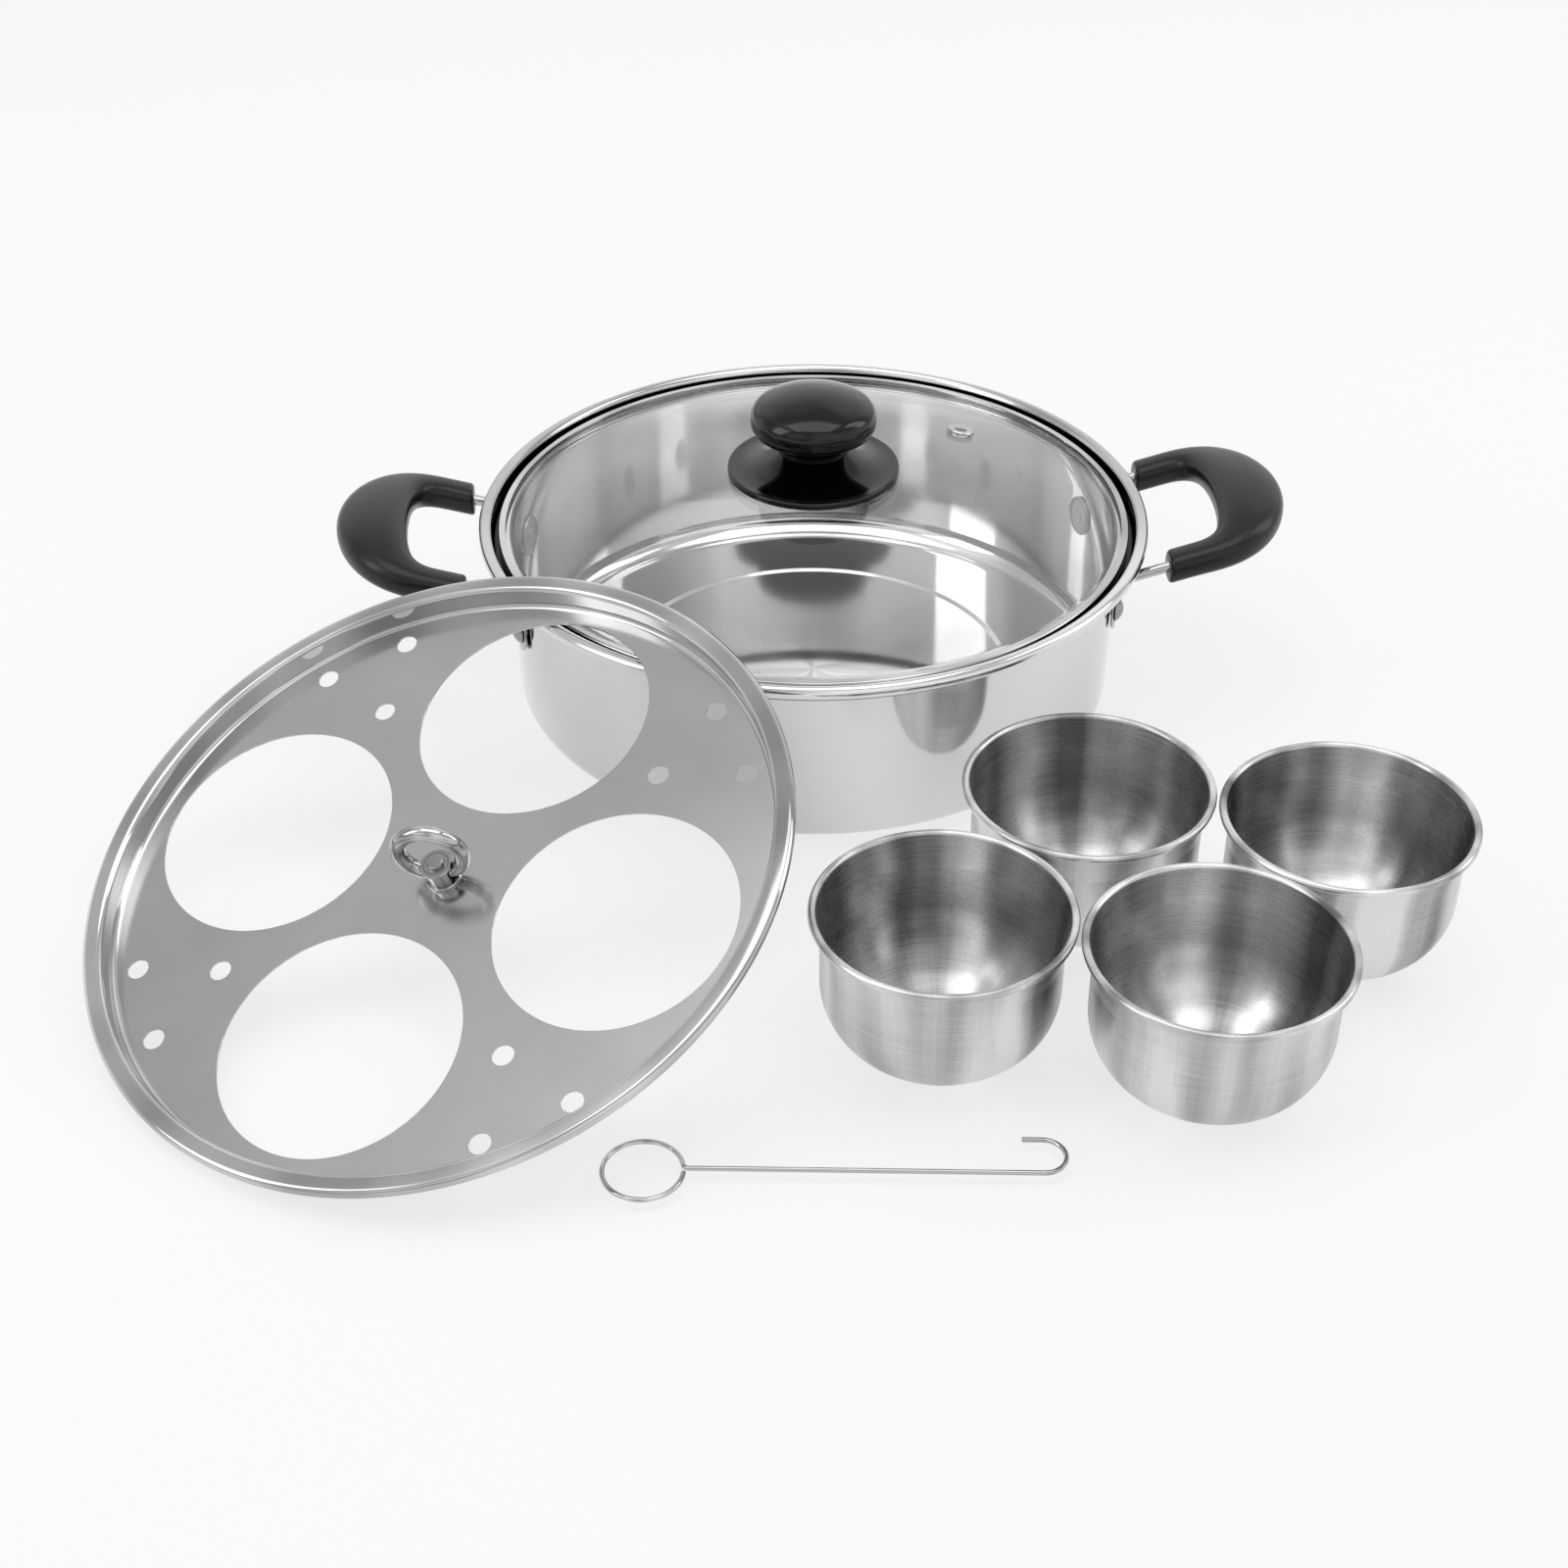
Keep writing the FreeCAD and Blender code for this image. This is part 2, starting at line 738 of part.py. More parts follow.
def make_egg_tray():
    edge = tray_radius - tray_sheet / 2
    low = tray_depth - 2 * tray_roll_radius
    points = [
        (0, 0, 0),
        (plate_radius, 0, tray_corner_radius),
        (plate_radius, tray_depth, tray_roll_radius / 2 + tray_sheet),
        (edge, tray_depth, tray_roll_radius),
        (edge, low, tray_roll_radius),
        (edge - tray_roll_radius, low, 0),
    ]
    tray = turned_sheet(points, tray_sheet)

    def hole(radius, centre):
        return Part.makeCylinder(radius, 4 * tray_sheet, centre - AXIS_Z * (2 * tray_sheet))

    cuts = [hole(ring_rivet_diameter / 2 + hole_play, Vector(post_x, post_y, 0))]
    outer_circle = plate_radius - steam_hole_inset
    for quarter in range(4):
        turn = hole_spin + quarter_turn * quarter
        cuts.append(hole(egg_hole_radius, polar(egg_hole_circle, turn)))
        between = turn + quarter_turn / 2
        cuts.append(hole(steam_hole_diameter / 2, polar(outer_circle - steam_hole_step, between)))
        for side in (-1, 1):
            outer = polar(outer_circle, between + side * steam_half_angle)
            cuts.append(hole(steam_hole_diameter / 2, outer))
    tray = tray.cut(cuts)
    tray.Placement = tray_placement()
    return tray


def post_frame():
    """Post's frame: origin on the plate at the rivet, X along the ring's hinge."""
    corner = Vector(post_x, post_y, tray_sheet / 2 + seat_play)
    return tray_placement().multiply(Placement(corner, Rotation(AXIS_Z, post_heading)))


def make_ring_post():
    """Turned post on a round foot, flattened on both sides and cross-drilled for the ring's pins."""
    top = 2 * hinge_height - post_flange - seat_play
    barrel = cylinder(post_diameter / 2, 0, top)
    corner = Vector(-post_width / 2, -post_diameter / 2, 0)
    barrel = barrel.common(Part.makeBox(post_width, post_diameter, top, corner))
    cross = Part.makeCylinder(
        ring_pin_diameter / 2 + ring_pin_play,
        2 * post_width,
        Vector(-post_width, 0, hinge_height),
        Vector(1, 0, 0),
    )
    post = barrel.fuse(cylinder(post_foot_diameter / 2, 0, post_flange)).cut(cross)
    post = post.cut(cylinder(ring_rivet_diameter / 2 + hole_play, -post_flange, 2 * top))
    post.Placement = post_frame()
    return post


def make_ring_cap():
    """Round cap on the post, notched on both sides where the ring's arms swing past it."""
    high = 2 * hinge_height
    hole = ring_radius - ring_bar - ring_play
    swing = Part.makeTorus(ring_centre, hole, AXIS_Z * hinge_height, Vector(1, 0, 0))
    cap = cylinder(ring_cap_diameter / 2, high - post_flange, high).common(swing)
    cap = cap.cut(cylinder(ring_rivet_diameter / 2 + hole_play, hinge_height, 2 * high))
    cap.Placement = post_frame()
    return cap


def make_ring_rivet():
    seat = 2 * hinge_height + seat_play
    below = -tray_sheet - 3 * seat_play
    bar = ring_rivet_diameter / 2
    tail = cylinder(ring_rivet_tail_diameter / 2, below - ring_rivet_tail_height, below)
    tail = tail.makeFillet(ring_rivet_tail_height / 2, [tail.Edges[2]])
    shank = cylinder(bar, below - ring_rivet_tail_height / 2, seat + ring_rivet_head_height / 2)
    head = cylinder(ring_rivet_head_diameter / 2, seat, seat + ring_rivet_head_height)
    head = head.makeFillet(ring_rivet_head_height / 2, [head.Edges[0]])
    rivet = shank.fuse([tail, head])
    rivet.Placement = post_frame()
    return rivet


def hinge_frame():
    """Ring's hinge: X along its pins, through the middle of the post."""
    return post_frame().multiply(Placement(AXIS_Z * hinge_height, Rotation()))


def make_lift_ring():
    """Round bar bent to a ring, whose ends turn in towards each other and carry the hinge pins."""
    elbow_y = ring_elbow
    toward = Vector(ring_end, elbow_y - ring_centre, 0).normalize()
    centre = Vector(0, ring_centre, 0)
    join = centre + toward * ring_radius
    elbow = Vector(ring_end, elbow_y, 0)
    elbow_middle = elbow + (toward + Vector(0, -1, 0)).normalize() * ring_elbow
    start = Vector(ring_end, 0, 0)

    def flipped(point):
        return Vector(-point.x, point.y, 0)

    path = Part.Wire([
        arc(start, elbow_middle, join),
        arc(join, centre + Vector(0, ring_radius, 0), flipped(join)),
        arc(flipped(join), flipped(elbow_middle), flipped(start)),
    ])
    ring = swept_rod(path, start, Vector(1, 0, 0), ring_bar_diameter)
    pin_end = ring_rivet_diameter / 2 + ring_play
    for side in (-1, 1):
        pin = Part.makeCylinder(
            ring_pin_diameter / 2,
            ring_end + ring_play - pin_end,
            Vector(side * pin_end, 0, 0),
            Vector(side, 0, 0),
        )
        ring = ring.fuse(pin)
    ring.Placement = hinge_frame().multiply(Placement(ORIGIN, Rotation(Vector(1, 0, 0), ring_rest_angle)))
    return ring


# Egg cups

def cup_places():
    side = 2 * cup_rim + cup_gap
    row = polar(side, cup_row_heading)
    column = polar(side, cup_column_heading)
    nearest = polar(rim_radius + cup_rim + cup_cluster_gap, cup_cluster_azimuth)
    first = nearest - column
    return [first, first + row, nearest, nearest + row]


def make_egg_cup(place):
    half = cup_sheet / 2
    wall = cup_wall - half
    neck = cup_rim - half - 2 * cup_roll_radius
    points = [
        (0, half, 0),
        (wall, half, cup_base_radius),
        (wall, cup_height - cup_flare_height, cup_flare_radius),
    ]
    points += rolled_edge(neck, cup_height - half, cup_roll_radius)
    cup = turned_sheet(points, cup_sheet)
    cup.translate(place)
    return cup


# Lifting hook

def bent_wire(here, heading, moves):
    """Flat wire path from moves: ("line", length) or ("arc", radius, turn in degrees)."""
    edges = []
    for move in moves:
        ahead = polar(1, heading)
        if move[0] == "line":
            there = here + ahead * move[1]
            edges.append(line(here, there))
        else:
            radius, turn = move[1:]
            side = math.copysign(1.0, turn)
            centre = here + polar(radius * side, heading + quarter_turn)
            spoke = here - centre
            halfway = centre + Rotation(AXIS_Z, turn / 2).multVec(spoke)
            there = centre + Rotation(AXIS_Z, turn).multVec(spoke)
            edges.append(arc(here, halfway, there))
            heading += turn
        here = there
    return Part.Wire(edges)


def make_lifting_hook():
    ring = hook_ring_diameter / 2
    start = polar(ring, hook_ring_start)
    sweep = 360 + hook_ring_start - hook_ring_end
    heading = hook_ring_start - quarter_turn
    moves = [
        ("arc", ring, -sweep),
        ("arc", hook_neck_radius, quarter_turn - hook_ring_end),
        ("line", hook_shank_length),
        ("arc", hook_curl_radius, 180),
        ("line", hook_tip_length),
    ]
    path = bent_wire(start, heading, moves)
    hook = swept_rod(path, start, polar(1, heading), hook_wire_diameter)
    cup = cup_places()[0]
    place = Vector(cup.x - hook_ring_left, cup.y - cup_rim - hook_cup_gap, hook_wire_diameter / 2)
    hook.Placement = Placement(place, Rotation(AXIS_Z, hook_heading))
    return hook


def main():
    os.makedirs("parts", exist_ok=True)
    save("pot_body", make_pot())
    for name, azimuth in rivet_azimuths().items():
        save(name, make_rivet(azimuth))
    rod, grip = make_handle()
    for side, turn in (("right", 0), ("left", 180)):
        for name, shape in (("handle_wire_", rod), ("handle_grip_", grip)):
            piece = shape.copy()
            piece.rotate(ORIGIN, AXIS_Z, handle_azimuth + turn)
            save(name + side, piece)
    save("lid_glass", make_lid_glass())
    save("lid_rim", make_lid_rim())
    save("vent_eyelet", make_vent_eyelet())
    save("knob_base", make_knob_base())
    save("lid_knob", make_lid_knob())
    save("knob_washer", make_knob_washer())
    save("knob_screw", make_knob_screw())
    save("egg_tray", make_egg_tray())
    save("ring_post", make_ring_post())
    save("ring_cap", make_ring_cap())
    save("ring_rivet", make_ring_rivet())
    save("lift_ring", make_lift_ring())
    for number, place in enumerate(cup_places(), 1):
        save("egg_cup_" + str(number), make_egg_cup(place))
    save("lifting_hook", make_lifting_hook())


main()
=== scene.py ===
# Egg steamer pot: the look of the set, laid out as in the photograph.
# Lengths in the dictionaries are millimetres; meshes are in metres.

import math

import bmesh
import bpy
import numpy as np
from mathutils import Matrix, Vector, geometry


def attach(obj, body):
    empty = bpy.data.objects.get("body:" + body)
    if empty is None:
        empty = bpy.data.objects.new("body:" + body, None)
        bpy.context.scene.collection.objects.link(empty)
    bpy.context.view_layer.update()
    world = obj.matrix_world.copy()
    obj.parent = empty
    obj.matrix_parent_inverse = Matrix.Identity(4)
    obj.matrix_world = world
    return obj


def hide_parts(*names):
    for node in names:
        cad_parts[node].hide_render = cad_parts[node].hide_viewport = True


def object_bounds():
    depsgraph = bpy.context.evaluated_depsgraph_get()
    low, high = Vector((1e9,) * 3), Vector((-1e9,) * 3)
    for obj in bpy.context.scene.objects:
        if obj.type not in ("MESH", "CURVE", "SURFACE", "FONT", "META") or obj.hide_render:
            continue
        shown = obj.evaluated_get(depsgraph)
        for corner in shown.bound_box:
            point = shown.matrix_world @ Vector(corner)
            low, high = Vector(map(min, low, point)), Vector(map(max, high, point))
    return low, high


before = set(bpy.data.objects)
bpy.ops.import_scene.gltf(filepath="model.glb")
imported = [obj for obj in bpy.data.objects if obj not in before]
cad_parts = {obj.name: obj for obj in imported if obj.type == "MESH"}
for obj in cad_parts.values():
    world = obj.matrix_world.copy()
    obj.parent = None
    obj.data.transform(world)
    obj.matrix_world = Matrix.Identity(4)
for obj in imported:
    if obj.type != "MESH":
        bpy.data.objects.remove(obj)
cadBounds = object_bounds()
mm = 0.001
# Gap in millimetres between pieces that rest on each other, as in the solids.
touch = 0.05


# sRGB hex to linear light, channel by channel.
def linearColour(hexText):
    values = [int(hexText[i:i + 2], 16) / 255 for i in (1, 3, 5)]
    return tuple(v / 12.92 if v <= 0.04045 else ((v + 0.055) / 1.055) ** 2.4 for v in values) + (1.0,)


def polar(radius, degrees, z=0.0):
    turn = np.radians(degrees)
    return np.array([radius * np.cos(turn), radius * np.sin(turn), z])


def turnAbout(axis, degrees):
    return np.array(Matrix.Rotation(math.radians(degrees), 3, axis))


# Line through (r, z, bend) corners with a tangent arc at each, moved sideways by offset.
# An arc keeps its centre and its radius changes by the offset, as both faces of a sheet do.
def bentLine(corners, offset, steps):
    flat = np.array([c[:2] for c in corners], float)
    ahead = np.diff(flat, axis=0)
    ahead /= np.linalg.norm(ahead, axis=1)[:, None]
    left = np.stack([-ahead[:, 1], ahead[:, 0]], axis=1)
    parts = [flat[:1] + left[0] * offset]
    for i in range(1, len(corners) - 1):
        before, after = ahead[i - 1], ahead[i]
        turn = math.atan2(before[0] * after[1] - before[1] * after[0], before @ after)
        side = math.copysign(1.0, turn)
        bend = corners[i][2]
        start = flat[i] - before * bend * math.tan(abs(turn) / 2)
        centre = start + left[i - 1] * bend * side
        count = max(2, int(steps * abs(turn) / 1.2) + 2)
        angles = np.linspace(0, turn, count)
        spoke = -left[i - 1] * side * (bend - offset * side)
        c, s = np.cos(angles), np.sin(angles)
        arc = np.stack([spoke[0] * c - spoke[1] * s, spoke[0] * s + spoke[1] * c], axis=1)
        parts.append(centre + arc)
    parts.append(flat[-1:] + left[-1] * offset)
    return np.concatenate(parts)


# Closed outline of a bent sheet: one face out, the other face back.
def sheetLoop(corners, thickness, steps):
    outward = bentLine(corners, thickness / 2, steps)
    back = bentLine(corners, -thickness / 2, steps)[::-1]
    return np.concatenate([outward, back])


# Corners of a bead rolled outwards and down from a neck.
def rolledBead(neck, top, radius):
    outer, low = neck + 2 * radius, top - 2 * radius
    return [(neck, top, radius), (outer, top, radius), (outer, low, radius), (neck + radius, low, 0)]


# Surface of revolution: each (r, z) of the loop runs round the Z axis.
def turnedGrid(loop, around):
    angles = np.linspace(0, 2 * np.pi, around, endpoint=False)[:, None]
    r, z = loop[:, 0][None, :], loop[:, 1][None, :]
    return np.stack([r * np.cos(angles), r * np.sin(angles), z + 0 * angles], axis=-1)


# Superellipse section carried along centres: c + side w sgn(cos)|cos|^p + up h sgn(sin)|sin|^p.
def sweptGrid(centres, sideways, upwards, halfWidth, halfHeight, power, around):
    angles = np.linspace(0, 2 * np.pi, around, endpoint=False)
    c = np.sign(np.cos(angles)) * np.abs(np.cos(angles)) ** power
    s = np.sign(np.sin(angles)) * np.abs(np.sin(angles)) ** power
    w = np.asarray(halfWidth, float).reshape(-1, 1, 1)
    h = np.asarray(halfHeight, float).reshape(-1, 1, 1)
    across = sideways[:, None] * w * c[None, :, None]
    above = upwards[:, None] * h * s[None, :, None]
    return centres[:, None] + across + above


# Closes both ends of a swept grid with a point.
def roundedEnds(grid, centres):
    first = np.repeat(centres[:1, None], grid.shape[1], axis=1)
    last = np.repeat(centres[-1:, None], grid.shape[1], axis=1)
    return np.concatenate([first, grid, last])


# Corner numbers of the quads between neighbouring rows and columns, with their uv.
def gridPart(grid, wrapRows, wrapColumns):
    rows, columns = grid.shape[:2]
    i = np.arange(rows if wrapRows else rows - 1)
    j = np.arange(columns if wrapColumns else columns - 1)
    i, j = (a.ravel() for a in np.meshgrid(i, j, indexing="ij"))
    nextI, nextJ = (i + 1) % rows, (j + 1) % columns
    here, beyond = i * columns, nextI * columns
    faces = np.stack([here + j, beyond + j, beyond + nextJ, here + nextJ], axis=1)
    u = np.stack([i, i + 1, i + 1, i], axis=1) / rows
    along = np.linalg.norm(np.diff(grid, axis=1, append=grid[:, :1]), axis=2).max(axis=0)
    reach = np.concatenate([[0], np.cumsum(along)])
    v = np.stack([reach[j], reach[j], reach[j + 1], reach[j + 1]], axis=1)
    return faces, np.stack([u, v], axis=-1)


# One mesh piece from grids of (points, wrap rows, wrap columns), in millimetres, placed by move.
def makePiece(name, grids, material, move=None, sharp=38.0):
    points, faces, uvs, count = [], [], [], 0
    for grid, wrapRows, wrapColumns in grids:
        quads, uv = gridPart(grid, wrapRows, wrapColumns)
        flat = grid.reshape(-1, 3)
        a, b, c, d = (flat[quads[:, k]] for k in range(4))
        volume = (a * (np.cross(b, c) + np.cross(c, d))).sum()
        if volume < 0:
            quads, uv = quads[:, ::-1], uv[:, ::-1]
        points.append(flat)
        faces.append(quads + count)
        uvs.append(uv)
        count += len(flat)
    points = np.concatenate(points)
    if move is not None:
        turn, shift = move
        points = points @ np.asarray(turn).T + shift
    mesh = bpy.data.meshes.new(name)
    mesh.from_pydata((points * mm).tolist(), [], np.concatenate(faces).tolist())
    layer = mesh.uv_layers.new(name="rings")
    layer.data.foreach_set("uv", np.concatenate(uvs).ravel())
    return finishPiece(name, mesh, material, sharp)


def finishPiece(name, mesh, material, sharp=38.0):
    work = bmesh.new()
    work.from_mesh(mesh)
    bmesh.ops.remove_doubles(work, verts=work.verts, dist=2e-7)
    bmesh.ops.dissolve_degenerate(work, edges=work.edges, dist=1e-7)
    work.to_mesh(mesh)
    work.free()
    mesh.shade_smooth()
    mesh.set_sharp_from_angle(angle=math.radians(sharp))
    mesh.materials.append(material)
    piece = bpy.data.objects.new(name, mesh)
    bpy.context.scene.collection.objects.link(piece)
    return piece


# Rides the piece on its body and hides the solids that it stands for.
def dress(piece, body, slot, *nodes):
    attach(piece, body)
    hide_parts(*nodes)


# Adds a node, sets its properties and sockets by name or number, and links its inputs.
def addNode(tree, kind, settings=None, links=None):
    node = tree.nodes.new(kind)
    for key, value in (settings or {}).items():
        if isinstance(key, str) and hasattr(node, key):
            setattr(node, key, value)
        else:
            node.inputs[key].default_value = value
    for key, source in (links or {}).items():
        tree.links.new(source, node.inputs[key])
    return node


def newMaterial(name):
    material = bpy.data.materials.new(name)
    material.use_nodes = True
    material.node_tree.nodes.clear()
    return material, material.node_tree


def closeMaterial(tree, shader):
    addNode(tree, "ShaderNodeOutputMaterial", {}, {"Surface": shader})


def colourBetween(tree, factor, dark, light):
    mix = addNode(tree, "ShaderNodeMix", {"data_type": "RGBA"}, {0: factor})
    mix.inputs[6].default_value = linearColour(dark)
    mix.inputs[7].default_value = linearColour(light)
    return mix.outputs[2]


# Sum, product or other arithmetic of numbers and sockets, in the order given.
def mathNode(tree, operation, *values):
    node = addNode(tree, "ShaderNodeMath", {"operation": operation})
    for place, value in enumerate(values):
        if isinstance(value, (int, float)):
            node.inputs[place].default_value = value
        else:
            tree.links.new(value, node.inputs[place])
    return node.outputs["Value"]


def noiseAt(tree, place, scale, detail):
    noise = addNode(tree, "ShaderNodeTexNoise", {"Scale": scale, "Detail": detail}, {"Vector": place})
    return noise.outputs["Fac"]


# Stretches a value from one pair of ends to another, cut off at both.
def stretched(tree, value, low, high, newLow=0.0, newHigh=1.0):
    ends = {"From Min": low, "From Max": high, "To Min": newLow, "To Max": newHigh}
    return addNode(tree, "ShaderNodeMapRange", ends, {"Value": value}).outputs["Result"]


def bumpFrom(tree, height, strength, depthMm):
    settings = {"Strength": strength, "Distance": depthMm * mm}
    return addNode(tree, "ShaderNodeBump", settings, {"Height": height}).outputs["Normal"]


# Rolled stainless sheet, as the press leaves it: an even fine grain and a soft gloss.
def satinSteel(name, dark, light, low, high):
    look = {"grain": 1400.0, "cloud": 22.0, "grainShare": 0.25, "grainDepthMm": 0.006}
    material, tree = newMaterial(name)
    place = addNode(tree, "ShaderNodeTexCoord").outputs["Object"]
    grain = noiseAt(tree, place, look["grain"], 2.0)
    cloud = noiseAt(tree, place, look["cloud"], 5.0)
    shader = addNode(tree, "ShaderNodeBsdfPrincipled", {"Metallic": 1.0},
                     {"Base Color": colourBetween(tree, cloud, dark, light),
                      "Roughness": stretched(tree, cloud, 0.0, 1.0, low, high),
                      "Normal": bumpFrom(tree, grain, look["grainShare"], look["grainDepthMm"])})
    closeMaterial(tree, shader.outputs["BSDF"])
    return material


# Angle round the piece and way along its section in millimetres, from the rings uv.
def ringsPlace(tree):
    uv = addNode(tree, "ShaderNodeUVMap", {"uv_map": "rings"}).outputs["UV"]
    split = addNode(tree, "ShaderNodeSeparateXYZ", {}, {0: uv})
    return mathNode(tree, "MULTIPLY", split.outputs["X"], 2 * math.pi), split.outputs["Y"]


# Noise on a cylinder of (arc cos, arc sin, perMm reach), so that it meets itself after one turn.
def ringNoise(tree, angle, reach, arc, perMm, detail):
    x = mathNode(tree, "MULTIPLY", mathNode(tree, "COSINE", angle), arc)
    y = mathNode(tree, "MULTIPLY", mathNode(tree, "SINE", angle), arc)
    z = mathNode(tree, "MULTIPLY", reach, perMm)
    place = addNode(tree, "ShaderNodeCombineXYZ", {}, {0: x, 1: y, 2: z})
    noise = addNode(tree, "ShaderNodeTexNoise", {"Scale": 1.0, "Detail": detail, "Roughness": 0.6},
                    {"Vector": place.outputs["Vector"]})
    return noise.outputs["Fac"]


# Stainless cup, brushed while it spun: rings of fine scratches, with painted reflections in its colour: fans
# of light and dark across the rings and fine radial streaks.
def spunSteel():
    look = {"dark": "#7a7a7a", "light": "#e0e0df", "ringArc": 1.6, "ringPerMm": 2.4, "ringShare": 0.14,
            "paintedFanArc": 1.9, "paintedFanPerMm": 0.006, "paintedFanShare": 0.8, "paintedStreakArc": 26.0, "paintedStreakPerMm": 0.02,
            "paintedStreakShare": 0.06, "toneLow": 0.36, "toneHigh": 0.62, "roughLow": 0.2, "roughHigh": 0.34,
            "brushShare": 0.5, "brushDepthMm": 0.03, "brushStretch": 0.8, "brushTurn": 0.25}
    material, tree = newMaterial("spun brushed stainless steel")
    angle, reach = ringsPlace(tree)
    scratch = ringNoise(tree, angle, reach, look["ringArc"], look["ringPerMm"], 3.0)
    paintedFan = ringNoise(tree, angle, reach, look["paintedFanArc"], look["paintedFanPerMm"], 1.0)
    paintedStreak = ringNoise(tree, angle, reach, look["paintedStreakArc"], look["paintedStreakPerMm"], 2.0)
    # The colour mixes the real scratch rings with painted reflection streaks and painted reflection fans.
    total = mathNode(tree, "MULTIPLY", scratch, look["ringShare"])
    total = mathNode(tree, "MULTIPLY_ADD", paintedStreak, look["paintedStreakShare"], total)
    total = mathNode(tree, "MULTIPLY_ADD", paintedFan, look["paintedFanShare"], total)
    tone = stretched(tree, total, look["toneLow"], look["toneHigh"])
    tangent = addNode(tree, "ShaderNodeTangent", {"direction_type": "UV_MAP", "uv_map": "rings"})
    settings = {"Metallic": 1.0, "Anisotropic": look["brushStretch"],
                "Anisotropic Rotation": look["brushTurn"]}
    shader = addNode(tree, "ShaderNodeBsdfPrincipled", settings,
                     {"Base Color": colourBetween(tree, tone, look["dark"], look["light"]),
                      "Roughness": stretched(tree, scratch, 0.0, 1.0, look["roughLow"], look["roughHigh"]),
                      "Normal": bumpFrom(tree, scratch, look["brushShare"], look["brushDepthMm"]),
                      "Tangent": tangent.outputs["Tangent"]})
    closeMaterial(tree, shader.outputs["BSDF"])
    return material


# Painted shade in the groove between the lid's band and the pot's neck, where little light reaches: each row
# is the measure in millimetres at which the painted shade starts and the one at which it is full.
def paintedGrooveShade(tree, place):
    groove = {"inner": (115.0, 116.8), "outer": (120.9, 120.3), "high": (70.2, 69.0), "low": (64.0, 65.2)}
    split = addNode(tree, "ShaderNodeSeparateXYZ", {}, {0: place})
    flat = addNode(tree, "ShaderNodeCombineXYZ", {}, {0: split.outputs["X"], 1: split.outputs["Y"]})
    reach = addNode(tree, "ShaderNodeVectorMath", {"operation": "LENGTH"}, {0: flat.outputs["Vector"]})
    answer = 1.0
    for limit, value in (("inner", reach.outputs["Value"]), ("outer", reach.outputs["Value"]),
                         ("high", split.outputs["Z"]), ("low", split.outputs["Z"])):
        start, full = groove[limit]
        answer = mathNode(tree, "MULTIPLY", answer, stretched(tree, value, start * mm, full * mm))
    return answer


# Mirror-buffed stainless steel, with soft fans of light and dark round the axis painted into its colour:
# painted reflections.
def polishedSteel(name, dark, light, paintedFanArc):
    # film is the colour of the painted shade in the groove under the lid.
    look = {"paintedFanPerMm": 0.004, "toneLow": 0.36, "toneHigh": 0.62, "haze": 14.0, "hazeLow": 0.35,
            "hazeHigh": 0.7, "roughLow": 0.05, "roughHigh": 0.1, "film": "#161616"}
    material, tree = newMaterial(name)
    place = addNode(tree, "ShaderNodeTexCoord").outputs["Object"]
    angle, reach = ringsPlace(tree)
    paintedFan = ringNoise(tree, angle, reach, paintedFanArc, look["paintedFanPerMm"], 1.0)
    haze = noiseAt(tree, place, look["haze"], 4.0)
    # Painted reflection: the fans set the colour between its dark and light ends.
    colour = colourBetween(tree, stretched(tree, paintedFan, look["toneLow"], look["toneHigh"]), dark, light)
    # Painted shade: the groove mask mixes the colour towards the film colour, a painted shadow colour.
    mix = addNode(tree, "ShaderNodeMix", {"data_type": "RGBA"}, {0: paintedGrooveShade(tree, place), 6: colour})
    mix.inputs[7].default_value = linearColour(look["film"])
    rough = stretched(tree, haze, look["hazeLow"], look["hazeHigh"], look["roughLow"], look["roughHigh"])
    shader = addNode(tree, "ShaderNodeBsdfPrincipled", {"Metallic": 1.0},
                     {"Base Color": mix.outputs[2], "Roughness": rough})
    closeMaterial(tree, shader.outputs["BSDF"])
    return material


# Clear tempered soda-lime glass, fire-polished; light passes it freely, so it casts no dark shadow.
def temperedGlass():
    look = {"colour": "#fdfdfc", "shadow": "#f8f8f7", "index": 1.5, "wave": 9.0, "waveShare": 0.3,
            "waveDepthMm": 0.05}
    material, tree = newMaterial("tempered glass")
    place = addNode(tree, "ShaderNodeTexCoord").outputs["Object"]
    wave = noiseAt(tree, place, look["wave"], 1.0)
    glass = addNode(tree, "ShaderNodeBsdfPrincipled",
                    {"Base Color": linearColour(look["colour"]), "Transmission Weight": 1.0, "Roughness": 0.0,
                     "IOR": look["index"]},
                    {"Normal": bumpFrom(tree, wave, look["waveShare"], look["waveDepthMm"])})
    clear = addNode(tree, "ShaderNodeBsdfTransparent", {"Color": linearColour(look["shadow"])})
    ray = addNode(tree, "ShaderNodeLightPath")
    mix = addNode(tree, "ShaderNodeMixShader", {}, {0: ray.outputs["Is Shadow Ray"], 1: glass.outputs["BSDF"],
                                                    2: clear.outputs["BSDF"]})
    closeMaterial(tree, mix.outputs["Shader"])
    return material


